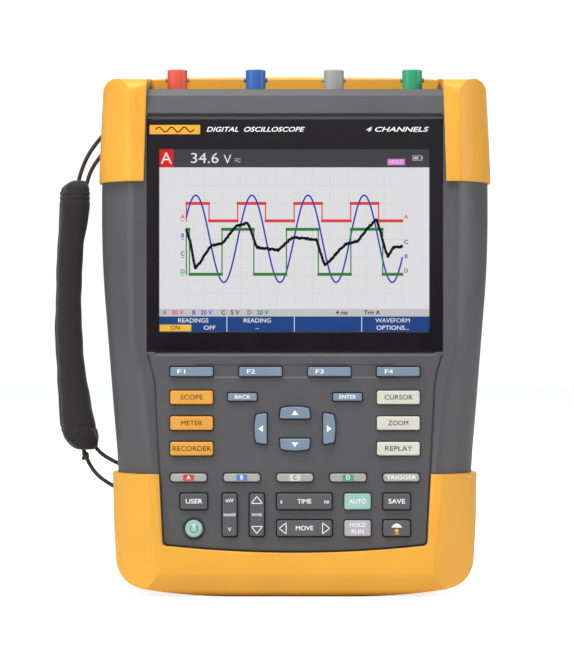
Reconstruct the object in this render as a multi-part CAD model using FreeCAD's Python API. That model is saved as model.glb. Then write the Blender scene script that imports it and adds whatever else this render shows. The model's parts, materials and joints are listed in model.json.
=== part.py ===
import FreeCAD, Part
import math
import os

# Handheld four-channel oscilloscope, standing upright on its bottom bumper.
# Millimetres. X to the right, Y to the back, Z up. The front faces -Y.
# The origin is the bottom centre of the object without its hand strap.

os.makedirs("parts", exist_ok=True)
Vec = FreeCAD.Vector

# ---- driving dimensions -------------------------------------------------
DEPTH_HALF = 35.0            # bumpers, front and back
CASE_FRONT = -33.2           # crest of the case each side of the panel
CASE_REAR = 32.5
PANEL_FRONT = -32.0          # key panel face
PANEL_WALL = 2.3
PANEL_LOW = 25.0             # lower corners of the key panel
PANEL_DIP = 3.5              # how far its lower edge bows below them
PANEL_CORNER = 2.4
PARTING = 2.0                # plane where the two case shells meet
WALL = 2.8
WIDEST = -6.0                # depth at which the body is widest

TROUGH_FLOOR = 232.0         # connector trough in the top
TROUGH_HALF = 70.4
TROUGH_FRONT = -25.0
TROUGH_REAR = 15.0
LIP_TOP = 243.3
CASE_TOP = 247.8
TOP_BUMPER_LOW = 199.0
TOP_CROWN = 253.2            # middle of the top bumper's arch
BOTTOM_BUMPER_HIGH = 59.0
TOP_GROW = 1.4
BOTTOM_GROW = 2.6

LENS_HALF = 71.0
LENS_LOW = 117.4
LENS_HIGH = 228.8
LENS_THICK = 2.0
SCREEN_HALF = 64.4
SCREEN_LOW = 127.0
SCREEN_HIGH = 214.2

KEY_PROUD = 1.6
KEY_GAP = 0.5
FLANGE = 0.9                 # how far a key's flange reaches past its opening
FLANGE_THICK = 0.8
FLANGE_FRONT = -29.5
ROCKER_FLANGE_FRONT = -28.95
ROCKER_FLANGE_THICK = 0.6
MAT_FRONT = -27.7
MAT_BACK = -26.5
DOME_BACK = -26.1
KEY_BOARD_BACK = -24.5

JACK_X = (-57.15, -19.05, 19.05, 57.15)
JACK_Y = -4.0
JACK_TOP = 254.5
JACK_R = 4.85

EYELET_R = 1.5
EYELET_DEPTH = 5.0
EYELET_Y = 10.0
CORD_R = 1.0

BAY_HALF = 54.5              # battery bay
BAY_LOW = 23.5
BAY_HIGH = 85.0
BAY_FRONT = 8.0
DOOR_HALF = 58.0
DOOR_LOW = 20.0
DOOR_HIGH = 88.0
DOOR_FRONT = 30.2
LOCK_X = 46.0
LOCK_Z = 82.0
LOCK_R = 4.2

STAND_HALF = 62.0
STAND_LOW = 98.0
STAND_PIVOT_Y = 30.3
STAND_PIVOT_Z = 190.0
STAND_R = 1.6                # half the stand's thickness
STAND_ROOM = 0.4

COVER_LOW = 94.0             # cover over the side sockets
COVER_HIGH = 122.0
COVER_FRONT = 7.0
COVER_BACK = 19.0
COVER_THICK = 1.8

SOCKET_BACK = 79.2           # side sockets
SOCKET_MOUTH = 84.9
SOCKET_Y = 13.0
SUPPLY_Z = 102.0
SUPPLY_R = 4.2
DATA_Z = 115.0

SCREWS = ((75.0, 104.0), (78.0, 189.0))   # x and z on the right; mirrored to the left
SCREW_R = 1.5
SCREW_HEAD_R = 2.8
SCREW_HEAD_FRONT = 28.5
SCREW_TIP = -13.8
POST_R = 4.2                 # screw posts of the rear shell
POST_FRONT = -19.0           # where the front shell's posts start

BOARD_FRONT = 3.4            # main board and what stands on it
BOARD_BACK = 5.0
BOARD_HALF = 68.0
BOARD_LOW = 94.0
BOARD_HIGH = 223.0
CHIPS = ((-40, 165, 14), (0, 165, 17), (38, 168, 12), (-20, 135, 10), (22, 132, 13), (-48, 122, 9))
CHIP_TALL = 2.0
CAN_HALF = 14.0              # pressed can over each input channel
CAN_FRONT = -17.0
CAN_LOW = 182.0
CAN_HIGH = 222.0
CAN_WALL = 0.5

MAT_WIDE = 123.0             # keypad mat and key board
MAT_TALL = 86.0
MAT_MIDDLE = 70.0
DOME_R = 1.8

PIN_R = 1.0                  # hinge pins of the stand
PIN_INNER = 56.6
PIN_LONG = 9.8

# Keys: name, centre x, centre z, opening width, opening height, corner radius.
F_PITCH = 32.9
F_ROW = 108.0
MENU_X = 49.4
MENU_ROWS = (95.7, 83.4, 71.2)
CHANNEL_PITCH = 25.4
CHANNEL_ROW = 57.4
UPPER_ROW = 46.0
LOWER_ROW = 33.2
CHANNEL_KEYS = ("key_channel_a", "key_channel_b", "key_channel_c", "key_channel_d", "key_trigger")
KEYS = (
    [("key_f%d" % (i + 1), (i - 1.5) * F_PITCH, F_ROW, 21.3, 5.3, 0.6) for i in range(4)]
    + [(n, -MENU_X, z, 21.3, 7.4, 0.9) for n, z in zip(("key_scope", "key_meter", "key_recorder"), MENU_ROWS)]
    + [(n, MENU_X, z, 21.3, 7.4, 0.9) for n, z in zip(("key_cursor", "key_zoom", "key_replay"), MENU_ROWS)]
    + [(n, (i - 2) * CHANNEL_PITCH, CHANNEL_ROW, 18.2, 4.7, 1.4)
       for i, n in enumerate(CHANNEL_KEYS)]
    + [
        ("key_back", -25.1, 95.9, 14.7, 4.5, 0.6),
        ("key_enter", 25.1, 95.9, 14.7, 4.5, 0.6),
        ("key_user", -48.3, UPPER_ROW, 13.8, 8.5, 1.0),
        ("key_auto", 29.9, UPPER_ROW, 13.5, 8.5, 1.0),
        ("key_save", 48.6, UPPER_ROW, 13.8, 8.5, 1.0),
        ("key_hold", 29.9, LOWER_ROW, 13.5, 8.5, 1.0),
        ("key_light", 48.6, LOWER_ROW, 13.8, 8.5, 1.0),
    ]
)
ROCKERS = (
    ("rocker_range", -31.2, 39.6, 7.8, 21.3, 1.0),
    ("rocker_level", -18.2, 39.6, 7.8, 21.3, 1.0),
    ("rocker_time", 4.5, UPPER_ROW, 27.2, 8.5, 1.0),
    ("rocker_move", 4.5, LOWER_ROW, 27.2, 8.5, 1.0),
)
POWER = ("key_power", -48.3, 33.0, 4.6)   # name, centre x, centre z, opening radius
PAD_Z = 80.8                 # centre of the four arrow keys
# Arrow keys: name, turn from up, inner edge and outer edge distance, inner and outer length.
ARROWS = (
    ("key_up", 0, 4.3, 10.2, 15.7, 14.4),
    ("key_down", 180, 4.3, 10.2, 15.7, 14.4),
    ("key_left", 90, 13.0, 19.0, 16.1, 14.2),
    ("key_right", -90, 13.0, 19.0, 16.1, 14.2),
)
ARROW_BULGE = 0.8

nodes = {}


# ---- small helpers ------------------------------------------------------
def box(x0, x1, y0, y1, z0, z1):
    return Part.makeBox(x1 - x0, y1 - y0, z1 - z0, Vec(x0, y0, z0))


def mirror_x(shape):
    return shape.mirror(Vec(0, 0, 0), Vec(1, 0, 0))


def cylinder(radius, start, direction, length):
    return Part.makeCylinder(radius, length, start, direction)


def flip(point):
    return Vec(-point.x, point.y, point.z)


def joined(shapes):
    first = shapes[0]
    if len(shapes) == 1:
        return first
    return first.multiFuse(shapes[1:]).removeSplitter()


def separate(shapes):
    return Part.makeCompound(shapes)


def arc(a, b, c):
    return Part.Arc(a, b, c).toShape()


def line(a, b):
    return Part.LineSegment(a, b).toShape()


def spline(points):
    curve = Part.BSplineCurve()
    curve.interpolate(points)
    return curve.toShape()


def smooth_step(value, low, high):
    t = min(max((value - low) / (high - low), 0.0), 1.0)
    return t * t * (3 - 2 * t)


def rounded_plate(width, height, corner, centre, y0, y1):
    """Plate in the XZ plane with rounded corners, from y0 back to y1."""
    hw = width / 2
    hh = height / 2
    plate = Part.makeBox(width, y1 - y0, height, Vec(-hw, y0, -hh))
    upright = [e for e in plate.Edges if abs(e.tangentAt(e.FirstParameter).y) > 0.9]
    plate = plate.makeFillet(corner, upright)
    plate.translate(Vec(centre[0], 0, centre[1]))
    return plate


def soften(shape, radius, y):
    """Round the edges that lie in the plane at depth y."""
    rim = [e for e in shape.Edges if all(abs(v.Y - y) < 0.001 for v in e.Vertexes)]
    return shape.makeFillet(radius, rim)


def soften_top(shape, radius, z):
    """Round the edges that lie in the plane at height z."""
    rim = [e for e in shape.Edges if all(abs(v.Z - z) < 0.001 for v in e.Vertexes)]
    return shape.makeFillet(radius, rim)


# ---- outline curves of the body (half widths as functions of height) ----
def side_half(z):
    """Widest half width of the case."""
    if z <= 134.0:
        return 85.7 + max(z - 60.0, 0.0) * 0.079
    t = min((z - 134.0) / 48.0, 1.0)
    return 91.5 + 2.3 * (1 - (1 - t) ** 2) - max(z - 200.0, 0.0) * 0.045


def ridge_half(z):
    """Crest between the front frame and the grips."""
    lower = 68.0 + (z - 60.0) * 0.1
    mix = smooth_step(z, 101.0, 128.0)
    return lower + (77.4 - lower) * mix


def panel_half(z):
    """Edge of the key panel and, higher up, of the lens frame."""
    lower = 63.2 + (z - 25.0) * 0.052
    mix = smooth_step(z, 103.0, 119.0)
    return lower + (LENS_HALF - lower) * mix


STATIONS = (-10, 10, 30, 50, 70, 85, 95, 102, 108, 114, 120, 126, 132, 145, 160, 182, 205, 230, 260)


def side_wire(half, y, heights=STATIONS, dip=0.0):
    """Closed outline at one depth: straight or dipped bottom, curved sides, flat top."""
    right = [Vec(half(z), y, z) for z in heights]
    left = [Vec(-p.x, y, p.z) for p in reversed(right)]
    if dip:
        bottom = arc(left[-1], Vec(0, y, heights[0] - dip), right[0])
    else:
        bottom = line(left[-1], right[0])
    return Part.Wire([bottom, spline(right), line(right[-1], left[0]), spline(left)])


def body(grow, y_front, y_rear):
    """Smooth body whose sides bulge from the front crest to the widest depth."""
    wires = []
    front_depth = WIDEST - y_front
    for d in (0.0, 1.0, 3.0, 7.0, 14.0, front_depth):
        fill = math.sin(math.pi / 2 * (d / front_depth) ** 0.8)
        wires.append(side_wire(lambda z: ridge_half(z) + grow + (side_half(z) - ridge_half(z)) * fill,
                               y_front + d))
    for s in (0.35, 0.7, 0.88, 0.95, 1.0):
        drop = 6.0 * s ** 2 + 3.0 * s ** 12
        wires.append(side_wire(lambda z: side_half(z) + grow - drop, WIDEST + s * (y_rear - WIDEST)))
    return Part.makeLoft(wires, True, False)


def extrude_y(edges, y0, y1):
    face = Part.Face(Part.Wire(edges))
    solid = face.extrude(Vec(0, y1 - y0, 0))
    solid.translate(Vec(0, y0, 0))
    return solid


def case_outline(inset, top):
    """Edges of the case's front outline, moved in by inset, at y = 0."""
    low = Vec(0, 0, 4.0 + inset)
    corner_in = Vec(72.0 - 0.3 * inset, 0, 8.0 + inset)
    corner_mid = Vec(81.0 - 0.7 * inset, 0, 11.5 + 0.7 * inset)
    corner_out = Vec(85.7 - inset, 0, 21.0)
    heights = (21, 60, 100, 134, 150, 166, 182, 200, 212)
    right = [Vec(side_half(z) - inset, 0, z) for z in heights]
    shoulder = Vec(side_half(top - 8.0) - inset, 0, top - 8.0)
    shoulder_in = Vec(shoulder.x - 8.0, 0, top)

    return [
        arc(flip(corner_in), low, corner_in),
        arc(corner_in, corner_mid, corner_out),
        spline(right),
        line(right[-1], shoulder),
        line(shoulder, shoulder_in),
        line(shoulder_in, flip(shoulder_in)),
        line(flip(shoulder_in), flip(shoulder)),
        line(flip(shoulder), flip(right[-1])),
        spline([flip(p) for p in reversed(right)]),
        arc(flip(corner_out), flip(corner_mid), flip(corner_in)),
    ]


def side_profile(points):
    """Prism across the whole width from a YZ outline of lines (2 points) and arcs (3 points)."""
    edges = []
    for run in points:
        spots = [Vec(-120, y, z) for y, z in run]
        edges.append(line(*spots) if len(spots) == 2 else arc(*spots))
    return Part.Face(Part.Wire(edges)).extrude(Vec(240, 0, 0))


# ---- the case -----------------------------------------------------------
def case_solid():
    prism = extrude_y(case_outline(0.0, CASE_TOP), -40, 40)
    profile = side_profile([
        [(CASE_FRONT, 14), (CASE_FRONT, 231.4)],
        [(CASE_FRONT, 231.4), (-31.2, 240.2)],
        [(-31.2, 240.2), (-28.6, LIP_TOP)],
        [(-28.6, LIP_TOP), (-12, CASE_TOP)],
        [(-12, CASE_TOP), (27.5, CASE_TOP)],
        [(27.5, CASE_TOP), (31.0, 246.3), (CASE_REAR, 242.8)],
        [(CASE_REAR, 242.8), (CASE_REAR, 12)],
        [(CASE_REAR, 12), (30.4, 6.2), (25, 4)],
        [(25, 4), (-25, 4)],
        [(-25, 4), (-31.2, 7.4), (CASE_FRONT, 14)],
    ])
    solid = body(0.0, CASE_FRONT, CASE_REAR).common(prism).common(profile)
    solid = solid.cut(box(-TROUGH_HALF, TROUGH_HALF, TROUGH_FRONT, TROUGH_REAR, TROUGH_FLOOR, 260))
    lip_waste = box(-TROUGH_HALF, TROUGH_HALF, -40, TROUGH_FRONT + 1, LIP_TOP, 260)
    return solid.cut(lip_waste)


def front_pocket(shift, top):
    """Ramped recess of the front panel: cut down from the crests to the panel edge."""
    heights = [PANEL_LOW] + [z for z in STATIONS if PANEL_LOW < z < top - 4] + [top]
    wires = [
        side_wire(panel_half, PANEL_FRONT + shift, heights, PANEL_DIP),
        side_wire(lambda z: ridge_half(z) - 0.8, CASE_FRONT + shift, heights, PANEL_DIP),
        side_wire(lambda z: ridge_half(z) - 0.8, CASE_FRONT + shift - 4, heights, PANEL_DIP),
    ]
    return Part.makeLoft(wires, True, True)


def case_cavity():
    prism = extrude_y(case_outline(WALL, 229.5), -40, 40)
    room = body(-WALL, PANEL_FRONT + PANEL_WALL, CASE_REAR - 2.5).common(prism)
    rear_lip_room = box(-80, 80, 18.0, 29.5, 228.0, 244.0)
    return room.fuse(rear_lip_room)


# ---- keys ---------------------------------------------------------------
def arrow_plate(key, grow, y0, y1):
    """Arrow key outline, grown all round: straight inner edge, bowed outer edge."""
    turn, inner, outer, inner_len, outer_len = key[1:]
    low = inner - grow
    high = outer + grow
    a = Vec(-inner_len / 2 - grow, y0, low)
    b = Vec(inner_len / 2 + grow, y0, low)
    c = Vec(outer_len / 2 + grow, y0, high)
    d = Vec(-outer_len / 2 - grow, y0, high)
    top = Vec(0, y0, high + ARROW_BULGE)
    wire = Part.Wire([line(a, b), line(b, c), arc(c, top, d), line(d, a)])
    plate = Part.Face(wire).extrude(Vec(0, y1 - y0, 0))
    upright = [e for e in plate.Edges if len(e.Vertexes) == 2
               and abs(e.Vertexes[0].X - e.Vertexes[1].X) < 0.001
               and abs(e.Vertexes[0].Z - e.Vertexes[1].Z) < 0.001]
    plate = plate.makeFillet(0.8, upright)
    plate.rotate(Vec(0, 0, 0), Vec(0, -1, 0), turn)
    plate.translate(Vec(0, 0, PAD_Z))
    return plate


def key_plate(key, grow, y0, y1):
    x, z, width, height, corner = key[1:]
    return rounded_plate(width + 2 * grow, height + 2 * grow, corner, (x, z), y0, y1)


def power_plate(key, grow, y0, y1):
    x, z, radius = key[1:]
    return cylinder(radius + grow, Vec(x, y0, z), Vec(0, 1, 0), y1 - y0)


def make_key(plate, key, flange_front, flange_thick):
    """A key's proud cap with softened front edges, and the flange that keeps it in."""
    front = PANEL_FRONT - KEY_PROUD
    cap = soften(plate(key, -KEY_GAP, front, flange_front), 0.45, front)
    flange = plate(key, FLANGE, flange_front, flange_front + flange_thick)
    return joined([cap, flange])


def all_keys():
    """Each key's name, outline maker and entry."""
    keys = [(k[0], key_plate, k) for k in KEYS]
    keys += [(k[0], arrow_plate, k) for k in ARROWS]
    keys.append((POWER[0], power_plate, POWER))
    return keys


def key_openings():
    y0 = PANEL_FRONT - 1
    y1 = PANEL_FRONT + PANEL_WALL + 0.2
    holes = [plate(key, 0.0, y0, y1) for _, plate, key in all_keys()]
    holes += [key_plate(key, 0.0, y0, y1) for key in ROCKERS]
    x, z, radius = POWER[1:]
    dish = Part.makeCone(radius + 1.1, radius, 0.9, Vec(x, PANEL_FRONT, z), Vec(0, 1, 0))
    return separate(holes + [dish])


# ---- strap route and eyelets --------------------------------------------
UPPER_EXIT = Vec(-0.707, 0, -0.707)
LOWER_EXIT = Vec(-0.92, 0, 0.39)
EYELETS = (
    (Vec(-94.3, EYELET_Y, 223.7), UPPER_EXIT),
    (Vec(-94.3, EYELET_Y, 214.9), UPPER_EXIT),
    (Vec(-87.4, EYELET_Y, 50.3), LOWER_EXIT),
    (Vec(-84.9, EYELET_Y, 61.5), LOWER_EXIT),
)


def eyelet_bores():
    bores = []
    for mouth, out in EYELETS:
        out = Vec(out).normalize()
        bores.append(cylinder(EYELET_R, mouth - out * EYELET_DEPTH, out, EYELET_DEPTH + 4))
    return bores + [mirror_x(b) for b in bores]


def eyelet_pads():
    """Solid blocks behind the eyelets, inside the rear shell's side walls."""
    pads = [box(-100, -79, 4, 16, 206, 231), box(-100, -74, 4, 16, 42, 68)]
    pads += [mirror_x(p) for p in pads]
    return [p.common(case) for p in pads]


def outer_cord_route():
    mouth, out = EYELETS[0]
    foot, foot_out = EYELETS[2]
    y = EYELET_Y
    return [
        mouth - out * EYELET_DEPTH, mouth + out * 6,
        Vec(-105.2, y + 0.4, 207.0), Vec(-109.0, y, 188), Vec(-112.2, y - 0.5, 160),
        Vec(-113.0, y - 0.5, 125), Vec(-110.8, y, 96), Vec(-106.0, y, 75),
        Vec(-100.3, y, 59.5), foot + foot_out * 4, foot - foot_out * EYELET_DEPTH,
    ]


def inner_cord_route():
    mouth, out = EYELETS[1]
    foot, foot_out = EYELETS[3]
    y = EYELET_Y
    return [
        mouth - out * EYELET_DEPTH, mouth + out * 6,
        Vec(-103.0, y - 0.4, 198.5), Vec(-105.6, y, 180), Vec(-108.2, y + 0.5, 152),
        Vec(-108.6, y + 0.5, 120), Vec(-106.2, y, 95), Vec(-102.3, y, 78),
        Vec(-97.0, y, 68.3), foot + foot_out * 3.5, foot - foot_out * EYELET_DEPTH,
    ]


def cord(name, route, radius):
    """Tube along straight runs joined by tangent arcs. Prints its bends, length and volume ratio."""
    edges = []
    start = route[0]
    for before, corner, after in zip(route, route[1:], route[2:]):
        back = (before - corner).normalize()
        ahead = (after - corner).normalize()
        half_turn = (math.pi - back.getAngle(ahead)) / 2
        reach = 0.45 * min((corner - before).Length, (after - corner).Length)
        bend = reach / math.tan(half_turn)
        middle = corner + (back + ahead).normalize() * (bend / math.cos(half_turn) - bend)
        print(name, "bend radius", round(bend, 1))
        edges.append(line(start, corner + back * reach))
        edges.append(arc(corner + back * reach, middle, corner + ahead * reach))
        start = corner + ahead * reach
    edges.append(line(start, route[-1]))
    path = Part.Wire(edges)
    disc = Part.Wire(Part.makeCircle(radius, route[0], route[1] - route[0]))
    tube = path.makePipeShell([disc], True, False)
    expected = math.pi * radius ** 2 * path.Length
    print(name, "length", round(path.Length, 1), "volume ratio", round(tube.Volume / expected, 4))
    return tube


def strap_sleeve():
    """Padded sleeve round both cords, bowed outwards."""
    sections = ((201.5, -107.6, 6.0), (196, -108.0, 7.0), (171, -109.8, 6.8), (140, -111.0, 6.8),
                (105, -109.4, 7.4), (82, -105.6, 8.2), (74, -103.6, 8.2), (69, -102.6, 7.2))
    rings = []
    for z, x, half in sections:
        ring = Part.Ellipse(Vec(x, EYELET_Y, z), half, half * 0.68).toShape()
        rings.append(Part.Wire(ring))
    return Part.makeLoft(rings, True, False)


# ---- bumpers ------------------------------------------------------------
def top_outline():
    """Front outline of the top bumper: one long flat arch that falls away over rounded shoulders."""
    low = Vec(95.1, 0, TOP_BUMPER_LOW)
    side = Vec(93.4, 0, 240.0)
    shoulder = Vec(92.2, 0, 245.4)
    corner = Vec(88.4, 0, 248.0)
    fall = Vec(80.4, 0, 250.2)
    arch_end = Vec(70.0, 0, 251.3)
    return [line(flip(low), low), line(low, side), arc(side, shoulder, corner), arc(corner, fall, arch_end),
            arc(arch_end, Vec(0, 0, TOP_CROWN), flip(arch_end)), arc(flip(arch_end), flip(fall), flip(corner)),
            arc(flip(corner), flip(shoulder), flip(side)), line(flip(side), flip(low))]


def top_bumper():
    prism = extrude_y(top_outline(), -40, 40)
    profile = side_profile([
        [(-DEPTH_HALF, 190), (-DEPTH_HALF, 241.5)],
        [(-DEPTH_HALF, 241.5), (-32.95, 246.3), (-28.0, 248.2)],
        [(-28.0, 248.2), (14.0, 251.8)],
        [(14.0, 251.8), (22.0, TOP_CROWN + 1)],
        [(22.0, TOP_CROWN + 1), (28.0, TOP_CROWN + 1)],
        [(28.0, TOP_CROWN + 1), (33.0, 252.0), (DEPTH_HALF, 246.5)],
        [(DEPTH_HALF, 246.5), (DEPTH_HALF, 190)],
        [(DEPTH_HALF, 190), (-DEPTH_HALF, 190)],
    ])
    solid = body(TOP_GROW, -DEPTH_HALF, DEPTH_HALF).common(profile).common(prism)
    solid = solid.cut(case).cut(front_pocket(-1.8, 260.0))
    window = [(TROUGH_HALF + 2.2, 190), (TROUGH_HALF, 260)]
    corners = [Vec(x, 0, z) for x, z in window] + [Vec(-x, 0, z) for x, z in reversed(window)]
    edges = [line(a, b) for a, b in zip(corners, corners[1:] + corners[:1])]
    solid = solid.cut(extrude_y(edges, -50, TROUGH_FRONT))
    solid = solid.cut(box(-TROUGH_HALF, TROUGH_HALF, TROUGH_FRONT - 1, TROUGH_REAR - 2, 190, 260))
    return solid.cut(separate(eyelet_bores()))


def bottom_outline():
    half = 27.0
    right = [(half, 0), (51.0, 1.1), (75.0, 4.5), (82.8, 8.8), (86.6, 18.0), (88.2, 40.0), (88.4, 59.0)]
    p = [Vec(x, 0, z) for x, z in right]
    q = [Vec(-x, 0, z) for x, z in right]
    return [line(q[0], p[0]), arc(p[0], p[1], p[2]), arc(p[2], p[3], p[4]), line(p[4], p[5]),
            line(p[5], p[6]), line(p[6], q[6]), line(q[6], q[5]), line(q[5], q[4]),
            arc(q[4], q[3], q[2]), arc(q[2], q[1], q[0])]


def panel_prism(top, grow=0.0, flare=0.0, y0=-50.0, y1=-26.0):
    """Prism of the key panel's outline with rounded lower corners, wider by flare at its front."""
    wires = []
    for y, extra in ((y0, grow + flare), (y1, grow)):
        heights = [PANEL_LOW - extra] + [z for z in STATIONS if PANEL_LOW < z < top - 4] + [top]
        wires.append(side_wire(lambda z: panel_half(z) + extra, y, heights, PANEL_DIP))
    prism = Part.makeLoft(wires, True, True)
    corners = [e for e in prism.Edges
               if all(v.Z < PANEL_LOW - grow + 0.1 for v in e.Vertexes)
               and abs(e.Vertexes[0].Y - e.Vertexes[1].Y) > 0.1]
    return prism.makeFillet(PANEL_CORNER + grow, corners)


def bottom_bumper():
    prism = extrude_y(bottom_outline(), -40, 40)
    profile = side_profile([
        [(-DEPTH_HALF, 70), (-DEPTH_HALF, 14.0)],
        [(-DEPTH_HALF, 14.0), (-32.6, 5.2), (-25.5, 0)],
        [(-25.5, 0), (27.0, 0)],
        [(27.0, 0), (33.0, 3.8), (DEPTH_HALF, 11.0)],
        [(DEPTH_HALF, 11.0), (DEPTH_HALF, 70)],
        [(DEPTH_HALF, 70), (-DEPTH_HALF, 70)],
    ])
    solid = body(BOTTOM_GROW, -DEPTH_HALF, DEPTH_HALF).common(prism).common(profile)
    solid = solid.cut(case).cut(front_pocket(-1.8, 80.0)).cut(panel_prism(80.0))
    solid = solid.cut(panel_prism(80.0, 0.0, 1.1, -DEPTH_HALF - 0.1, -DEPTH_HALF + 1.0))
    solid = solid.cut(rounded_plate(122, 90, 6, (0, 17 + 45), CASE_REAR - 0.1, 40))
    return solid.cut(separate(eyelet_bores()))


# ---- case shells --------------------------------------------------------
def gasket():
    outer = extrude_y(case_outline(0.8, 231.2), PARTING - 0.6, PARTING + 0.6)
    inner = extrude_y(case_outline(1.8, 230.2), PARTING - 1, PARTING + 1)
    return outer.cut(inner)


def panel_groove():
    """Thin groove that outlines the key panel."""
    depth = 0.7
    ring = panel_prism(115.8, 0.15).cut(panel_prism(117.0, -0.7))
    ring.translate(Vec(0, PANEL_FRONT + depth + 26, 0))
    return ring


def panel_relief():
    """Shallow band between the upper keys, and the bevel under the lens."""
    band = [(-34, F_ROW + 3.5), (PANEL_FRONT + 0.3, F_ROW + 3.5), (PANEL_FRONT + 0.3, F_ROW - 2.4),
            (PANEL_FRONT, F_ROW - 2.9), (-34, F_ROW - 2.9)]
    bevel = [(PANEL_FRONT - 1, LENS_LOW - 1.9), (PANEL_FRONT, LENS_LOW - 1.9),
             (PANEL_FRONT + 0.8, LENS_LOW + 0.1), (PANEL_FRONT - 1, LENS_LOW + 0.1)]
    cuts = []
    for half, outline in ((1.45 * F_PITCH, band), (LENS_HALF - 4.0, bevel)):
        corners = [Vec(-half, y, z) for y, z in outline]
        face = Part.Face(Part.makePolygon(corners + corners[:1]))
        cuts.append(face.extrude(Vec(2 * half, 0, 0)))
    return separate(cuts)


def front_case():
    shell = case.cut(front_pocket(0.0, 230.4)).cut(cavity).common(front_half)
    ledge = box(-74, 74, -31, -27.2, 115, 229.4)
    posts = []
    for x, z in SCREWS:
        post = cylinder(3.5, Vec(x, POST_FRONT, z), Vec(0, 1, 0), PARTING - POST_FRONT)
        rib = box(x, x + 12, POST_FRONT, PARTING, z - 1, z + 1).common(case)
        posts += [post, rib, mirror_x(post), mirror_x(rib)]
    shell = joined([shell, ledge.common(case)] + posts)
    tools = [
        box(-LENS_HALF + 0.2, LENS_HALF - 0.2, -40, PANEL_FRONT + LENS_THICK - 0.1, LENS_LOW, LENS_HIGH),
        box(-66, 66, -40, -20, SCREEN_LOW - 1.5, SCREEN_HIGH + 1.5),
        box(-TROUGH_HALF, TROUGH_HALF, -40, PANEL_FRONT + 0.6, 230.3, 231.4),
        key_openings(),
        panel_groove(),
        panel_relief(),
        gasket(),
    ]
    for x, z in SCREWS:
        bore = cylinder(SCREW_R, Vec(x, SCREW_TIP - 0.2, z), Vec(0, 1, 0), 20)
        tools += [bore, mirror_x(bore)]
    for x in JACK_X:
        tools.append(cylinder(4.0, Vec(x, JACK_Y, 220), Vec(0, 0, 1), 20))
    for tool in tools:
        shell = shell.cut(tool)
    return shell


def rear_case():
    shell = case.cut(cavity).common(rear_half)
    posts = []
    for x, z in SCREWS:
        post = cylinder(POST_R, Vec(x, PARTING, z), Vec(0, 1, 0), 29)
        posts += [post, mirror_x(post)]
    bay = box(-BAY_HALF - 2, BAY_HALF + 2, BAY_FRONT - 2, 31, BAY_LOW - 2, BAY_HIGH + 2)
    door_ledge = box(-DOOR_HALF - 3, DOOR_HALF + 3, 27, 31, DOOR_LOW - 3, DOOR_HIGH + 3)
    stand_back = box(-STAND_HALF - 5, STAND_HALF + 5, 26, 31, STAND_LOW - 6, STAND_PIVOT_Z + 6)
    port_pad = case.common(box(83, 100, 5, 21, 91, 125))
    shell = joined([shell, bay, door_ledge, stand_back, port_pad] + posts + eyelet_pads())
    tools = [
        box(-BAY_HALF, BAY_HALF, BAY_FRONT, 40, BAY_LOW, BAY_HIGH),
        rounded_plate(2 * DOOR_HALF + 0.6, DOOR_HIGH - DOOR_LOW + 0.6, 3,
                      (0, (DOOR_LOW + DOOR_HIGH) / 2), DOOR_FRONT - 0.2, 40),
        rounded_plate(2 * (STAND_HALF + STAND_ROOM), STAND_PIVOT_Z + 3 - STAND_LOW + STAND_ROOM, 3,
                      (0, (STAND_PIVOT_Z + 3 + STAND_LOW - STAND_ROOM) / 2),
                      STAND_PIVOT_Y - STAND_R - STAND_ROOM, 40),
        box(-10, 10, 28.6, 40, STAND_LOW - 4, STAND_LOW + 1),
        port_recess(),
        gasket(),
    ]
    for side in (-1, 1):
        tools.append(box(side * LOCK_X - 6, side * LOCK_X + 6, 26.8, 40, LOCK_Z - 2, DOOR_HIGH + 0.3))
    for x, z in SCREWS:
        shank = cylinder(SCREW_R + 0.15, Vec(x, 0, z), Vec(0, 1, 0), 40)
        head = cylinder(SCREW_HEAD_R + 0.3, Vec(x, SCREW_HEAD_FRONT, z), Vec(0, 1, 0), 10)
        tools += [shank, head, mirror_x(shank), mirror_x(head)]
    tools += [cylinder(PIN_R, Vec(s * 58, STAND_PIVOT_Y, STAND_PIVOT_Z), Vec(s, 0, 0), 8.4) for s in (-1, 1)]
    tools += [supply_barrel(100), data_block(100)]
    for tool in tools:
        shell = shell.cut(tool)
    return shell.cut(separate(eyelet_bores()))


def case_screws():
    screws = []
    for x, z in SCREWS:
        shank = cylinder(SCREW_R, Vec(x, SCREW_TIP, z), Vec(0, 1, 0), SCREW_HEAD_FRONT - SCREW_TIP)
        head = cylinder(SCREW_HEAD_R, Vec(x, SCREW_HEAD_FRONT, z), Vec(0, 1, 0), 1.8)
        slot = box(x - 2, x + 2, 29.5, 31, z - 0.4, z + 0.4)
        cross = box(x - 0.4, x + 0.4, 29.5, 31, z - 2, z + 2)
        screw = joined([shank, head]).cut(slot).cut(cross)
        screws += [screw, mirror_x(screw)]
    return separate(screws)


# ---- side sockets and their cover ---------------------------------------
def skin_block(grow, thickness):
    """A piece of the case's right side skin."""
    room = box(80, 110, COVER_FRONT - grow, COVER_BACK + grow, COVER_LOW - grow, COVER_HIGH + grow)
    block = case.common(room)
    inner = case.copy()
    inner.translate(Vec(-thickness, 0, 0))
    return block.cut(inner)


def port_cover():
    return skin_block(0.0, COVER_THICK)


def port_recess():
    return skin_block(0.3, COVER_THICK + 0.4)


def supply_barrel(end):
    return cylinder(SUPPLY_R, Vec(SOCKET_BACK, SOCKET_Y, SUPPLY_Z), Vec(1, 0, 0), end - SOCKET_BACK)


def data_block(end, margin=0.0):
    """Data socket's block, or with a margin the opening inside it."""
    return box(SOCKET_BACK, end, SOCKET_Y - 2.6 + margin, SOCKET_Y + 2.6 - margin,
               DATA_Z - 4.5 + margin, DATA_Z + 4.5 - margin)


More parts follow.
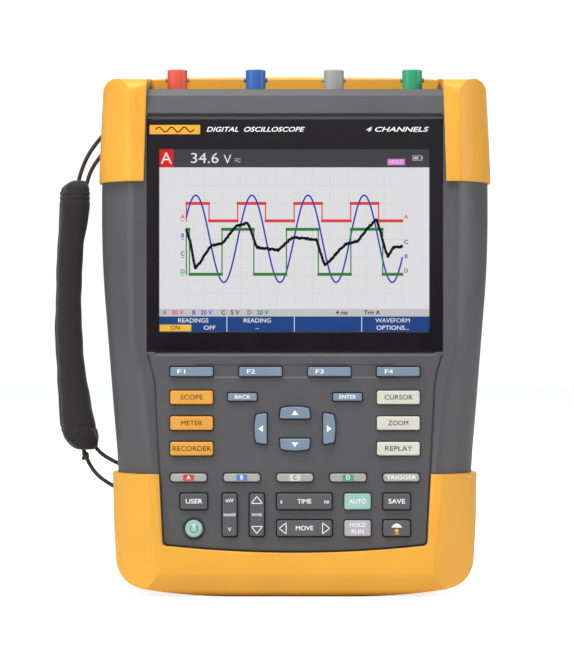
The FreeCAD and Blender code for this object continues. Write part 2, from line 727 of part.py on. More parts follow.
def port_sockets():
    """Round supply socket with its centre pin, and a small data socket."""
    floor = SOCKET_BACK + 1.0
    start = Vec(floor, SOCKET_Y, SUPPLY_Z)
    room = cylinder(SUPPLY_R - 1.45, start, Vec(1, 0, 0), 10)
    pin = cylinder(0.9, start - Vec(0.5, 0, 0), Vec(1, 0, 0), SOCKET_MOUTH - floor - 0.5)
    supply = joined([supply_barrel(SOCKET_MOUTH).cut(room), pin])
    opening = data_block(SOCKET_MOUTH + 1, 1.1).cut(box(0, floor, -50, 50, 0, 200))
    return separate([supply, data_block(SOCKET_MOUTH).cut(opening)])


# ---- battery, door and locks --------------------------------------------
def battery_pack():
    pack = rounded_plate(2 * BAY_HALF - 3, 52, 3, (0, 51), BAY_FRONT + 0.5, 28.5)
    grip = box(-12, 12, 27.3, 30, 30, 36)
    return pack.cut(grip)


def battery_door():
    centre = (DOOR_LOW + DOOR_HIGH) / 2
    door = rounded_plate(2 * DOOR_HALF, DOOR_HIGH - DOOR_LOW, 3, (0, centre), DOOR_FRONT, CASE_REAR)
    door = soften(door, 0.8, CASE_REAR)
    for side in (-1, 1):
        door = door.cut(cylinder(LOCK_R + 0.3, Vec(side * LOCK_X, 20, LOCK_Z), Vec(0, 1, 0), 30))
    for i in range(5):
        z = 32.0 + i * 5.0
        door = door.cut(rounded_plate(60, 1.6, 0.7, (0, z), CASE_REAR - 0.7, 40))
    return door


def door_lock(side):
    """Quarter-turn lock: slotted head, shank and a short tongue behind the door."""
    x = side * LOCK_X
    head = cylinder(LOCK_R, Vec(x, 29.6, LOCK_Z), Vec(0, 1, 0), 2.6)
    neck = cylinder(2.0, Vec(x, 27.2, LOCK_Z), Vec(0, 1, 0), 2.6)
    tongue = box(x - 2, x + 2, 27.2, 29.0, LOCK_Z - 1.5, DOOR_HIGH - 0.6)
    slot = box(x - 0.6, x + 0.6, 31.2, 33, LOCK_Z - 3, LOCK_Z + 3)
    return joined([head, neck, tongue]).cut(slot)


# ---- tilt stand ---------------------------------------------------------
def tilt_stand():
    height = STAND_PIVOT_Z - STAND_LOW
    plate = box(-STAND_HALF, STAND_HALF, STAND_PIVOT_Y - STAND_R, STAND_PIVOT_Y + STAND_R,
                STAND_LOW, STAND_PIVOT_Z)
    feet = [e for e in plate.Edges if all(abs(v.Z - STAND_LOW) < 0.01 for v in e.Vertexes)
            and abs(e.Vertexes[0].X - e.Vertexes[1].X) < 0.01]
    plate = plate.makeFillet(3, feet)
    barrel = cylinder(STAND_R, Vec(-STAND_HALF, STAND_PIVOT_Y, STAND_PIVOT_Z), Vec(1, 0, 0), 2 * STAND_HALF)
    stand = joined([plate, barrel])
    relief = rounded_plate(96, height - 34, 5, (0, STAND_LOW + height / 2), STAND_PIVOT_Y + STAND_R - 0.8, 40)
    stand = stand.cut(relief)
    for side in (-1, 1):
        start = Vec(side * (STAND_HALF - 6), STAND_PIVOT_Y, STAND_PIVOT_Z)
        stand = stand.cut(cylinder(PIN_R + 0.06, start, Vec(side, 0, 0), 8))
    return stand


def stand_hinge_pins():
    return separate([cylinder(PIN_R, Vec(s * PIN_INNER, STAND_PIVOT_Y, STAND_PIVOT_Z), Vec(s, 0, 0), PIN_LONG)
                     for s in (-1, 1)])


# ---- front electronics --------------------------------------------------
def display_window():
    centre = (0, (LENS_LOW + LENS_HIGH) / 2)
    front = PANEL_FRONT - 0.1
    plate = rounded_plate(2 * LENS_HALF - 0.6, LENS_HIGH - LENS_LOW - 0.2, 1.5, centre,
                          front, front + LENS_THICK)
    return soften(plate, 0.3, front)


def lcd_panel():
    back = -22.4
    centre = (0, (SCREEN_LOW + SCREEN_HIGH) / 2)
    module = rounded_plate(138, 100, 1.5, centre, -27.2, back)
    face = rounded_plate(2 * SCREEN_HALF, SCREEN_HIGH - SCREEN_LOW, 0.3, centre, -28.6, -27.2)
    lead = box(-12, 12, back, back + 1.2, 140, 160)
    return joined([module, face, lead])


def keypad_mat():
    return rounded_plate(MAT_WIDE, MAT_TALL, 4, (0, MAT_MIDDLE), MAT_FRONT, MAT_BACK)


def dome_spots():
    spots = [(k[1], k[2]) for k in KEYS]
    for turn, inner, outer in (arrow[1:4] for arrow in ARROWS):
        reach = (inner + outer) / 2
        angle = math.radians(turn)
        spots.append((-reach * math.sin(angle), PAD_Z + reach * math.cos(angle)))
    spots.append(POWER[1:3])
    for x, z, width, height in (rocker[1:5] for rocker in ROCKERS):
        for side in (-1, 1):
            if width > height:
                spots.append((x + side * (width / 2 - 3.5), z))
            else:
                spots.append((x, z + side * (height / 2 - 3.5)))
    return spots


def snap_domes():
    return separate([cylinder(DOME_R, Vec(x, MAT_BACK, z), Vec(0, 1, 0), DOME_BACK - MAT_BACK)
                     for x, z in dome_spots()])


def key_board():
    board = rounded_plate(MAT_WIDE, MAT_TALL, 4, (0, MAT_MIDDLE), DOME_BACK, KEY_BOARD_BACK)
    plug = box(-14, 14, KEY_BOARD_BACK, KEY_BOARD_BACK + 4, 100, 106)
    return joined([board, plug])


# ---- main electronics ---------------------------------------------------
def main_board():
    board = box(-BOARD_HALF, BOARD_HALF, BOARD_FRONT, BOARD_BACK, BOARD_LOW, BOARD_HIGH)
    parts = [box(x - s / 2, x + s / 2, BOARD_FRONT - CHIP_TALL, BOARD_FRONT, z - s / 2, z + s / 2)
             for x, z, s in CHIPS]
    parts.append(box(-14, 14, BOARD_FRONT - 5, BOARD_FRONT, 104, 110))
    return joined([board] + parts)


def channel_shields():
    """One pressed can over each input channel, open towards the board."""
    cans = []
    for x in JACK_X:
        outer = box(x - CAN_HALF, x + CAN_HALF, CAN_FRONT, BOARD_FRONT, CAN_LOW, CAN_HIGH)
        inner = box(x - CAN_HALF + CAN_WALL, x + CAN_HALF - CAN_WALL, CAN_FRONT + CAN_WALL, BOARD_FRONT + 1,
                    CAN_LOW + CAN_WALL, CAN_HIGH - CAN_WALL)
        cans.append(outer.cut(inner))
    return separate(cans)


def input_jack(x):
    """Insulated bayonet socket: shank, base, barrel with two lugs, and a sleeve round the contact."""
    up = Vec(0, 0, 1)
    shank = cylinder(4.0, Vec(x, JACK_Y, 222), up, 10)
    base = cylinder(7.2, Vec(x, JACK_Y, TROUGH_FLOOR), up, 2.4)
    barrel = cylinder(JACK_R, Vec(x, JACK_Y, TROUGH_FLOOR), up, JACK_TOP - TROUGH_FLOOR)
    barrel = soften_top(barrel, 0.5, JACK_TOP)
    lugs = [cylinder(1.05, Vec(x, JACK_Y, 249.6), Vec(s, 0, 0), JACK_R + 0.95) for s in (-1, 1)]
    solid = joined([shank, base, barrel] + lugs)
    solid = solid.cut(cylinder(4.05, Vec(x, JACK_Y, 243), up, 20))
    solid = joined([solid, cylinder(2.2, Vec(x, JACK_Y, 242), up, 9)])
    return solid.cut(cylinder(0.7, Vec(x, JACK_Y, 238), up, 20))


def jack_contacts():
    return separate([cylinder(0.7, Vec(x, JACK_Y, 238), Vec(0, 0, 1), 14) for x in JACK_X])


# ---- assembly -----------------------------------------------------------
case = case_solid()
cavity = case_cavity()
front_half = box(-130, 130, -60, PARTING, -10, 270)
rear_half = box(-130, 130, PARTING, 60, -10, 270)

nodes["front_case"] = front_case()
nodes["rear_case"] = rear_case()
nodes["case_gasket"] = gasket()
nodes["case_screws"] = case_screws()
nodes["top_bumper"] = top_bumper()
nodes["bottom_bumper"] = bottom_bumper()
nodes["display_window"] = display_window()
nodes["lcd_panel"] = lcd_panel()
nodes["keypad_mat"] = keypad_mat()
nodes["snap_domes"] = snap_domes()
nodes["key_board"] = key_board()
nodes["main_board"] = main_board()
nodes["channel_shields"] = channel_shields()
for letter, x in zip("abcd", JACK_X):
    nodes["input_jack_" + letter] = input_jack(x)
nodes["jack_contacts"] = jack_contacts()
nodes["battery_pack"] = battery_pack()
nodes["battery_door"] = battery_door()
nodes["door_lock_left"] = door_lock(-1)
nodes["door_lock_right"] = door_lock(1)
nodes["tilt_stand"] = tilt_stand()
nodes["stand_hinge_pins"] = stand_hinge_pins()
nodes["port_cover"] = port_cover()
nodes["port_sockets"] = port_sockets()
nodes["strap_sleeve"] = strap_sleeve()
nodes["strap_cord_outer"] = cord("strap_cord_outer", outer_cord_route(), CORD_R)
nodes["strap_cord_inner"] = cord("strap_cord_inner", inner_cord_route(), CORD_R)
for name, plate, key in all_keys():
    nodes[name] = make_key(plate, key, FLANGE_FRONT, FLANGE_THICK)
for key in ROCKERS:
    nodes[key[0]] = make_key(key_plate, key, ROCKER_FLANGE_FRONT, ROCKER_FLANGE_THICK)

for name, shape in nodes.items():
    shape.exportStep("parts/" + name + ".step")
    print(name, shape.isValid(), len(shape.Solids), round(shape.Volume))
print(len(nodes), "nodes")
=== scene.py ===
import json
import math
import random

import bmesh
import bpy
from mathutils import Matrix, Vector


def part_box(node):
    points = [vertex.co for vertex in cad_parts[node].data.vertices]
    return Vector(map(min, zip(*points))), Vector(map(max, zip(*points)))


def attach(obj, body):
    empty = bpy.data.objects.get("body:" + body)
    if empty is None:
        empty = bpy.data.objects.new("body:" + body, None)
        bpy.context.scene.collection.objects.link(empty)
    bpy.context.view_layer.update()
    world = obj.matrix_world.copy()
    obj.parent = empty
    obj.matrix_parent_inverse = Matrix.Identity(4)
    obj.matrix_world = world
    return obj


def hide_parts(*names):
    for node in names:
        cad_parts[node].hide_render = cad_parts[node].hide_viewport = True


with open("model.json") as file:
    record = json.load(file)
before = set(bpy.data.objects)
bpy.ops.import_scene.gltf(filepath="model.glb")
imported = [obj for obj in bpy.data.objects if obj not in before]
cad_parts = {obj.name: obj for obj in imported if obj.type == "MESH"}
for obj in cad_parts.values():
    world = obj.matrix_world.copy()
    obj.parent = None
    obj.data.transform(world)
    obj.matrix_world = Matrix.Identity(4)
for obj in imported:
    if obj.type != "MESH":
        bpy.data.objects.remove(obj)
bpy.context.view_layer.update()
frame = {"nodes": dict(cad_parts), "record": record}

# Handheld oscilloscope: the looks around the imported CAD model. Metres, front towards -Y.
scene = bpy.context.scene
MM = 0.001


# ---- colours ------------------------------------------------------------
def srgb(r, g, b):
    """Screen colour, 0 to 255, as the linear colour that shaders take."""
    def linear(v):
        v /= 255.0
        return v / 12.92 if v <= 0.04045 else ((v + 0.055) / 1.055) ** 2.4
    return (linear(r), linear(g), linear(b), 1.0)


def shade(colour, factor):
    return tuple(c * factor for c in colour[:3]) + (1.0,)


# ---- camera -------------------------------------------------------------
VIEW_DISTANCE = 1.5
VIEW_HEIGHT = 0.126
VIEW_SIDE = -0.0038
VIEW_TALL = 0.3262512        # what the view takes in, top to bottom, at the object's middle plane
SENSOR = 36.0


def make_camera():
    data = bpy.data.cameras.new("camera")
    data.sensor_width = SENSOR
    data.lens = SENSOR * VIEW_DISTANCE / VIEW_TALL
    data.clip_start = 0.1
    data.clip_end = 30
    camera = bpy.data.objects.new("camera", data)
    camera.location = (VIEW_SIDE, -VIEW_DISTANCE, VIEW_HEIGHT)
    camera.rotation_euler = (math.pi / 2, 0, 0)
    scene.collection.objects.link(camera)
    scene.camera = camera


# ---- light, floor and background ----------------------------------------
OBJECT_MIDDLE = (0, 0, 0.13)
SKY_SEEN = 1.05              # brightness of the background to the camera
SKY_FILL = 0.24              # and to everything else


def area_light(name, location, size, power):
    """Softbox that points at the middle of the object."""
    data = bpy.data.lights.new(name, "AREA")
    data.shape = "RECTANGLE"
    data.size = size[0]
    data.size_y = size[1]
    data.energy = power
    light = bpy.data.objects.new(name, data)
    light.location = location
    aim = Vector(OBJECT_MIDDLE) - Vector(location)
    light.rotation_euler = aim.to_track_quat("-Z", "Y").to_euler()
    scene.collection.objects.link(light)


def make_studio():
    scene.view_settings.view_transform = "Standard"
    world = bpy.data.worlds.new("studio")
    scene.world = world
    world.use_nodes = True
    nodes = world.node_tree.nodes
    links = world.node_tree.links
    nodes.clear()
    out = nodes.new("ShaderNodeOutputWorld")
    mix = nodes.new("ShaderNodeMixShader")
    path = nodes.new("ShaderNodeLightPath")
    seen = nodes.new("ShaderNodeBackground")
    seen.inputs["Strength"].default_value = SKY_SEEN
    seen.inputs["Color"].default_value = (1, 1, 1, 1)
    fill = nodes.new("ShaderNodeBackground")
    fill.inputs["Color"].default_value = (0.96, 0.98, 1.0, 1)
    fill.inputs["Strength"].default_value = SKY_FILL
    links.new(path.outputs["Is Camera Ray"], mix.inputs["Fac"])
    links.new(fill.outputs[0], mix.inputs[1])
    links.new(seen.outputs[0], mix.inputs[2])
    links.new(mix.outputs[0], out.inputs["Surface"])
    area_light("top", (-0.3, -0.6, 1.5), (1.1, 0.7), 29)
    area_light("left", (-1.6, -0.95, 0.75), (0.7, 1.1), 11)
    area_light("right", (1.7, -0.35, 0.6), (0.6, 1.0), 10.5)
    area_light("front", (0.1, -2.5, 0.7), (1.2, 1.0), 3)
    area_light("back", (0.4, 1.8, 1.0), (1.2, 1.2), 12)


FLOOR_LIFT = 0.8             # keeps the paper near white out to the horizon


def make_floor():
    mesh = bpy.data.meshes.new("floor")
    bm = bmesh.new()
    bmesh.ops.create_circle(bm, cap_ends=True, segments=96, radius=6.0)
    bm.to_mesh(mesh)
    bm.free()
    floor = bpy.data.objects.new("floor", mesh)
    scene.collection.objects.link(floor)
    mat = bpy.data.materials.new("floor_paper")
    mat.use_nodes = True
    shader = mat.node_tree.nodes["Principled BSDF"]
    shader.inputs["Base Color"].default_value = (0.75, 0.75, 0.75, 1)
    shader.inputs["Emission Color"].default_value = (1, 1, 1, 1)
    seen = mat.node_tree.nodes.new("ShaderNodeLightPath").outputs["Is Camera Ray"]
    glow = mat.node_tree.nodes.new("ShaderNodeMath")
    glow.operation = "MULTIPLY"
    glow.inputs[1].default_value = FLOOR_LIFT
    mat.node_tree.links.new(seen, glow.inputs[0])
    mat.node_tree.links.new(glow.outputs[0], shader.inputs["Emission Strength"])
    shader.inputs["Roughness"].default_value = 0.7
    shader.inputs["Specular IOR Level"].default_value = 0.1
    mesh.materials.append(mat)


# ---- materials ----------------------------------------------------------
PANE_SHADE = 0.1             # share of light that the clear window stops


class Shader:
    """A Principled material and the nodes that feed it."""

    def __init__(self, name):
        self.mat = bpy.data.materials.new(name)
        self.mat.use_nodes = True
        self.nodes = self.mat.node_tree.nodes
        self.links = self.mat.node_tree.links
        self.bsdf = self.nodes["Principled BSDF"]
        self.coords = self.nodes.new("ShaderNodeTexCoord").outputs["Object"]

    def set(self, **values):
        for key, value in values.items():
            self.bsdf.inputs[key.replace("_", " ")].default_value = value

    def noise(self, scale, detail=2.0, rough=0.5, stretch=None):
        node = self.nodes.new("ShaderNodeTexNoise")
        node.inputs["Scale"].default_value = scale
        node.inputs["Detail"].default_value = detail
        node.inputs["Roughness"].default_value = rough
        source = self.coords
        if stretch:
            mapping = self.nodes.new("ShaderNodeMapping")
            mapping.inputs["Scale"].default_value = stretch
            self.links.new(source, mapping.inputs["Vector"])
            source = mapping.outputs["Vector"]
        self.links.new(source, node.inputs["Vector"])
        return node.outputs["Fac"]

    def ramp(self, factor, stops):
        node = self.nodes.new("ShaderNodeValToRGB")
        ramp = node.color_ramp
        ramp.elements[0].position = stops[0][0]
        ramp.elements[0].color = stops[0][1]
        ramp.elements[1].position = stops[-1][0]
        ramp.elements[1].color = stops[-1][1]
        for position, colour in stops[1:-1]:
            ramp.elements.new(position).color = colour
        self.links.new(factor, node.inputs["Fac"])
        return node.outputs["Color"]

    def span(self, factor, low, high, source_low=0.3, source_high=0.7):
        node = self.nodes.new("ShaderNodeMapRange")
        node.inputs["From Min"].default_value = source_low
        node.inputs["From Max"].default_value = source_high
        node.inputs["To Min"].default_value = low
        node.inputs["To Max"].default_value = high
        self.links.new(factor, node.inputs["Value"])
        return node.outputs["Result"]

    def bump(self, height, depth, strength=1.0, under=None):
        node = self.nodes.new("ShaderNodeBump")
        node.inputs["Distance"].default_value = depth
        node.inputs["Strength"].default_value = strength
        self.links.new(height, node.inputs["Height"])
        if under is not None:
            self.links.new(under, node.inputs["Normal"])
        return node.outputs["Normal"]

    def edge(self, radius):
        node = self.nodes.new("ShaderNodeBevel")
        node.samples = 6
        node.inputs["Radius"].default_value = radius
        return node.outputs["Normal"]

    def feed(self, socket, output):
        self.links.new(output, self.bsdf.inputs[socket])


def moulded(name, colour, rough=0.5, grain=2600, depth=0.00003, edge=0.0004, vary=0.06, specular=0.5):
    """Moulded plastic or rubber: fine spark grain, slightly uneven colour and gloss, soft edges."""
    s = Shader(name)
    cloud = s.noise(28, 4, 0.6)
    fine = s.noise(grain, 2, 0.5)
    s.feed("Base Color", s.ramp(cloud, [(0.3, shade(colour, 1 - vary)), (0.7, shade(colour, 1 + vary))]))
    s.feed("Roughness", s.span(cloud, rough - 0.05, rough + 0.05))
    s.set(Specular_IOR_Level=specular)
    s.feed("Normal", s.bump(fine, depth, 0.6, s.edge(edge) if edge else None))
    return s.mat


def metal(name, colour, rough=0.3, brush=None):
    s = Shader(name)
    streaks = s.noise(900, 3, 0.6, brush)
    s.feed("Base Color", s.ramp(streaks, [(0.3, shade(colour, 0.85)), (0.7, shade(colour, 1.05))]))
    s.feed("Roughness", s.span(streaks, rough - 0.08, rough + 0.1))
    s.set(Metallic=1.0)
    s.feed("Normal", s.bump(streaks, 0.00002, 0.4, s.edge(0.0002)))
    return s.mat


def glowing(name, colour, vary=0.015):
    """A lit part of the display: fine cell pattern over an almost even colour."""
    s = Shader(name)
    cells = s.noise(4200, 1, 0.4)
    s.set(Base_Color=(0.01, 0.01, 0.01, 1), Roughness=0.4, Specular_IOR_Level=0.1)
    s.set(Emission_Strength=1 / (1 - PANE_SHADE))
    s.feed("Emission Color", s.ramp(cells, [(0.3, shade(colour, 1 - vary)), (0.7, shade(colour, 1 + vary))]))
    return s.mat


def printed(name, colour, rough=0.55):
    """Ink of a legend or label."""
    s = Shader(name)
    speck = s.noise(5200, 2, 0.5)
    s.feed("Base Color", s.ramp(speck, [(0.3, shade(colour, 0.9)), (0.65, shade(colour, 1.0))]))
    s.set(Roughness=rough, Specular_IOR_Level=0.3)
    return s.mat


def black_gloss(name):
    """Window border: printed black behind a hard glossy coat."""
    s = Shader(name)
    haze = s.noise(40, 4, 0.6)
    s.feed("Base Color", s.ramp(haze, [(0.3, srgb(16, 13, 17)), (0.7, srgb(22, 19, 23))]))
    s.feed("Roughness", s.span(haze, 0.1, 0.2))
    s.set(Specular_IOR_Level=0.22)
    s.feed("Normal", s.bump(s.noise(9, 2, 0.5), 0.00004, 0.2, s.edge(0.0003)))
    return s.mat


def clear_pane(name):
    """Nearly clear hard window over the display."""
    s = Shader(name)
    haze = s.noise(60, 3, 0.5)
    s.set(Base_Color=(0.01, 0.01, 0.012, 1), Alpha=PANE_SHADE, Specular_IOR_Level=0.3)
    s.feed("Roughness", s.span(haze, 0.06, 0.12))
    return s.mat


def circuit(name):
    s = Shader(name)
    tracks = s.noise(260, 2, 0.4, (1, 1, 6))
    greens = [(0.45, srgb(18, 84, 52)), (0.5, srgb(28, 104, 66)), (0.56, srgb(16, 76, 46))]
    s.feed("Base Color", s.ramp(tracks, greens))
    s.feed("Roughness", s.span(tracks, 0.3, 0.45))
    s.feed("Normal", s.bump(tracks, 0.00005, 0.5))
    return s.mat


def webbing(name, colour, pitch=0.00045):
    """Woven cloth: two crossed sets of ribs, with lint."""
    s = Shader(name)
    waves = []
    for turn in (0.6, -0.6):
        wave = s.nodes.new("ShaderNodeTexWave")
        wave.bands_direction = "Z"
        wave.inputs["Scale"].default_value = 0.31 / pitch
        wave.inputs["Distortion"].default_value = 0.6
        wave.inputs["Detail"].default_value = 2.0
        mapping = s.nodes.new("ShaderNodeMapping")
        mapping.inputs["Rotation"].default_value = (turn, turn * 0.4, 0)
        s.links.new(s.coords, mapping.inputs["Vector"])
        s.links.new(mapping.outputs["Vector"], wave.inputs["Vector"])
        waves.append(wave.outputs["Fac"])
    weave = s.nodes.new("ShaderNodeMath")
    weave.operation = "MULTIPLY"
    s.links.new(waves[0], weave.inputs[0])
    s.links.new(waves[1], weave.inputs[1])
    cloud = s.noise(60, 4, 0.6)
    mix = s.nodes.new("ShaderNodeMath")
    mix.operation = "MULTIPLY_ADD"
    mix.inputs[1].default_value = 0.5
    s.links.new(weave.outputs[0], mix.inputs[0])
    s.links.new(cloud, mix.inputs[2])
    s.feed("Base Color", s.ramp(mix.outputs[0], [(0.3, shade(colour, 0.8)), (1.0, shade(colour, 1.2))]))
    s.feed("Roughness", s.span(cloud, 0.8, 0.95))
    s.set(Specular_IOR_Level=0.2, Sheen_Weight=0.35, Sheen_Roughness=0.5)
    s.feed("Normal", s.bump(weave.outputs[0], 0.0001, 0.7))
    return s.mat


CASE_GREY = srgb(75, 74, 76)
AMBER = srgb(226, 162, 51)
slot_materials = {
    "case_grey": moulded("case_grey", CASE_GREY, 0.45, 2400, 0.00004, 0.0006),
    "case_dark": moulded("case_dark", srgb(58, 58, 60), 0.5, 2600, 0.00003, 0.0003),
    "bumper_amber": moulded("bumper_amber", AMBER, 0.45, 1700, 0.00004, 0.0012, 0.04, 0.4),
    "seal_rubber": moulded("seal_rubber", srgb(38, 38, 39), 0.7, 2000, 0.00003, 0.0003),
    "steel": metal("steel", srgb(196, 196, 194), 0.32, (1, 8, 1)),
    "lens_glass": black_gloss("lens_border"),
    "lcd": moulded("lcd_metal", srgb(120, 122, 124), 0.4, 1500, 0.00002, 0.0003),
    "board": circuit("board"),
    "jack_red": moulded("jack_red", srgb(236, 92, 74), 0.42, 3000, 0.00002, 0.0003),
    "jack_blue": moulded("jack_blue", srgb(50, 104, 184), 0.42, 3000, 0.00002, 0.0003),
    "jack_grey": moulded("jack_grey", srgb(166, 166, 166), 0.42, 3000, 0.00002, 0.0003),
    "jack_green": moulded("jack_green", srgb(52, 166, 120), 0.42, 3000, 0.00002, 0.0003),
    "contact_brass": metal("contact_brass", srgb(216, 178, 96), 0.28),
    "battery": moulded("battery_shell", srgb(44, 44, 47), 0.5, 1800, 0.00003, 0.0006),
    "socket_black": moulded("socket_black", srgb(26, 26, 27), 0.4, 2600, 0.00002, 0.0002),
    "strap_fabric": webbing("strap_fabric", srgb(37, 34, 36)),
    "strap_cord": webbing("strap_cord", srgb(50, 46, 46), 0.0003),
    "key_steel_blue": moulded("key_steel_blue", srgb(112, 132, 150), 0.45, 3000, 0.00003, 0.0005),
    "key_amber": moulded("key_amber", srgb(214, 152, 54), 0.45, 3000, 0.00003, 0.0005),
    "key_beige": moulded("key_beige", srgb(204, 202, 190), 0.45, 3000, 0.00003, 0.0005),
    "key_light_grey": moulded("key_light_grey", srgb(160, 160, 155), 0.45, 3000, 0.00003, 0.0005),
    "key_dark": moulded("key_dark", srgb(80, 80, 83), 0.5, 3000, 0.00003, 0.0005),
    "key_mint": moulded("key_mint", srgb(146, 188, 176), 0.45, 3000, 0.00003, 0.0005),
    "key_lavender": moulded("key_lavender", srgb(168, 165, 170), 0.45, 3000, 0.00003, 0.0005),
}
ink_white = printed("ink_white", srgb(240, 240, 240))
ink_black = printed("ink_black", srgb(24, 22, 22))
ink_red = printed("ink_red", srgb(200, 66, 60))
ink_blue = printed("ink_blue", srgb(80, 126, 188))
ink_green = printed("ink_green", srgb(70, 150, 120))
ink_amber = printed("ink_amber", srgb(236, 166, 52))
ink_grey = printed("ink_grey", srgb(205, 205, 200))
ink_mint = printed("ink_mint", srgb(150, 215, 195))
ink_brown = printed("ink_brown", srgb(70, 36, 12))
thread = printed("strap_thread", srgb(62, 58, 60), 0.8)


def dress_cad_nodes():
    """Gives every CAD node its slot's material."""
    slots = {row["node"]: row["material_slot"] for row in frame["record"]["subparts"]}
    for name, node in frame["nodes"].items():
        node.data.materials.clear()
        node.data.materials.append(slot_materials[slots[name]])


# ---- mesh helpers -------------------------------------------------------
INK = 0.00005                # thickness of print
FONT_SIZE_PER_CAP = 1.4      # font size over the height of its capitals


def add_mesh(name, bm, material, body="housing", smooth=None):
    bmesh.ops.recalc_face_normals(bm, faces=bm.faces)
    mesh = bpy.data.meshes.new(name)
    bm.to_mesh(mesh)
    bm.free()
    obj = bpy.data.objects.new(name, mesh)
    scene.collection.objects.link(obj)
    for m in material if isinstance(material, list) else [material]:
        mesh.materials.append(m)
    if smooth is not None:
        mesh.polygons.foreach_set("use_smooth", [True] * len(mesh.polygons))
        mesh.set_sharp_from_angle(angle=math.radians(smooth))
    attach(obj, body)
    return obj


def slab(bm, x0, x1, z0, z1, y0, y1, material=0):
    """Box in a mesh, front face at y0."""
    made = bmesh.ops.create_cube(bm, size=1.0)
    for v in made["verts"]:
        v.co.x = x0 if v.co.x < 0 else x1
        v.co.y = y0 if v.co.y < 0 else y1
        v.co.z = z0 if v.co.z < 0 else z1
    for face in {f for v in made["verts"] for f in v.link_faces}:
        face.material_index = material


def rounded_outline(x0, x1, z0, z1, radius, steps=6):
    """Corner points of a rounded rectangle, anticlockwise seen from the front."""
    points = []
    for cx, cz, start in ((x1 - radius, z0 + radius, -90), (x1 - radius, z1 - radius, 0),
                          (x0 + radius, z1 - radius, 90), (x0 + radius, z0 + radius, 180)):
        for i in range(steps + 1):
            a = math.radians(start + 90 * i / steps)
            points.append((cx + radius * math.cos(a), cz + radius * math.sin(a)))
    return points


def prism(bm, outline, y0, y1, material=0):
    """Closed prism over an XZ outline, front face at y0."""
    front = [bm.verts.new((x, y0, z)) for x, z in outline]
    back = [bm.verts.new((x, y1, z)) for x, z in outline]
    faces = [bm.faces.new(front), bm.faces.new(list(reversed(back)))]
    for i in range(len(outline)):
        j = (i + 1) % len(outline)
        faces.append(bm.faces.new((front[j], front[i], back[i], back[j])))
    for face in faces:
        face.material_index = material


def ribbon(bm, points, width, y0, y1, material=0):
    """Flat line of a given width through XZ points."""
    for (xa, za), (xb, zb) in zip(points, points[1:]):
        d = Vector((xb - xa, zb - za))
        if d.length < 1e-9:
            continue
        d.normalize()
        n = Vector((-d.y, d.x)) * width / 2
        e = d * width * 0.3
        outline = [(xa - e.x - n.x, za - e.y - n.y), (xb + e.x - n.x, zb + e.y - n.y),
                   (xb + e.x + n.x, zb + e.y + n.y), (xa - e.x + n.x, za - e.y + n.y)]
        prism(bm, outline, y0, y1, material)


def lettering(name, text, x, z, height, y, material, body="housing", align="CENTER", shear=0.0, width=None,
              bold=0.02):
    """Print facing the front, centred on x and z or starting at x, stretched to a width if one is given."""
    data = bpy.data.curves.new(name, "FONT")
    data.body = text
    data.size = height * FONT_SIZE_PER_CAP
    data.align_x = align
    data.align_y = "CENTER"
    data.shear = shear
    data.extrude = INK / 2
    data.offset = bold * height
    data.resolution_u = 3
    data.materials.append(material)
    obj = bpy.data.objects.new(name, data)
    obj.location = (x, y - INK / 2, z)
    obj.rotation_euler = (math.pi / 2, 0, 0)
    scene.collection.objects.link(obj)
    if width:
        bpy.context.view_layer.update()
        obj.scale = (width / obj.dimensions.x, 1, 1)
    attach(obj, body)
    return obj


def triangle(cx, cz, width, height, turn=0):
    """Corners of a triangle that points up, turned anticlockwise in degrees."""
    a = math.radians(turn)
    corners = [(-width / 2, -height / 2), (width / 2, -height / 2), (0, height / 2)]
    c, s = math.cos(a), math.sin(a)
    return [(cx + x * c - z * s, cz + x * s + z * c) for x, z in corners]


# ---- display ------------------------------------------------------------
lens_low, lens_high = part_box("display_window")
lcd_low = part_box("lcd_panel")[0]
SCREEN_WIDE = 129.2 * MM     # the clear part of the window
SCREEN_TALL = 87.4 * MM
SCREEN_LEFT = -64.9 * MM
SCREEN_TOP = lens_high[2] - 14.2 * MM
SCREEN_FACE = lcd_low[1] - 0.1 * MM
HEADER = 8.7 * MM            # height of the bar along the top
SOFTKEYS = 7.3 * MM          # height of the bar along the bottom
STATUS = 3.6 * MM            # height of the settings line above it
DIVISION = 8.62 * MM         # side of a grid square
GRID_LEFT = 12.9 * MM
COLUMNS, ROWS = 12, 8
LAYER = 0.04 * MM            # depth from one layer of the picture to the next


def screen_x(u):
    return SCREEN_LEFT + u


def screen_z(v):
    return SCREEN_TOP - v


def screen_block(bm, u0, u1, v0, v1, layer, material=0):
    y = SCREEN_FACE - layer * LAYER
    slab(bm, screen_x(u0), screen_x(u1), screen_z(v1), screen_z(v0), y, y + LAYER, material)


def screen_text(name, text, u, v, height, ink, align="CENTER", width=None, bold=0.01):
    y = SCREEN_FACE - 5 * LAYER
    lettering("screen_" + name, text, screen_x(u), screen_z(v), height, y, ink, align=align, width=width,
              bold=bold)


def grid_point(column, row):
    return (screen_x(GRID_LEFT + column * DIVISION), screen_z(HEADER + row * DIVISION))


lit = {name: glowing("lit_" + name, srgb(*rgb)) for name, rgb in {
    "paper": (229, 229, 231), "header": (64, 64, 66), "status": (200, 200, 203), "blue": (20, 66, 134),
    "amber": (246, 196, 60), "red": (222, 28, 34), "pink": (228, 120, 226), "white": (240, 240, 242),
    "ink": (26, 24, 26), "dots": (186, 186, 192), "trace_a": (224, 60, 58), "trace_b": (62, 58, 190),
    "trace_c": (18, 16, 20), "trace_d": (44, 126, 52)}.items()}


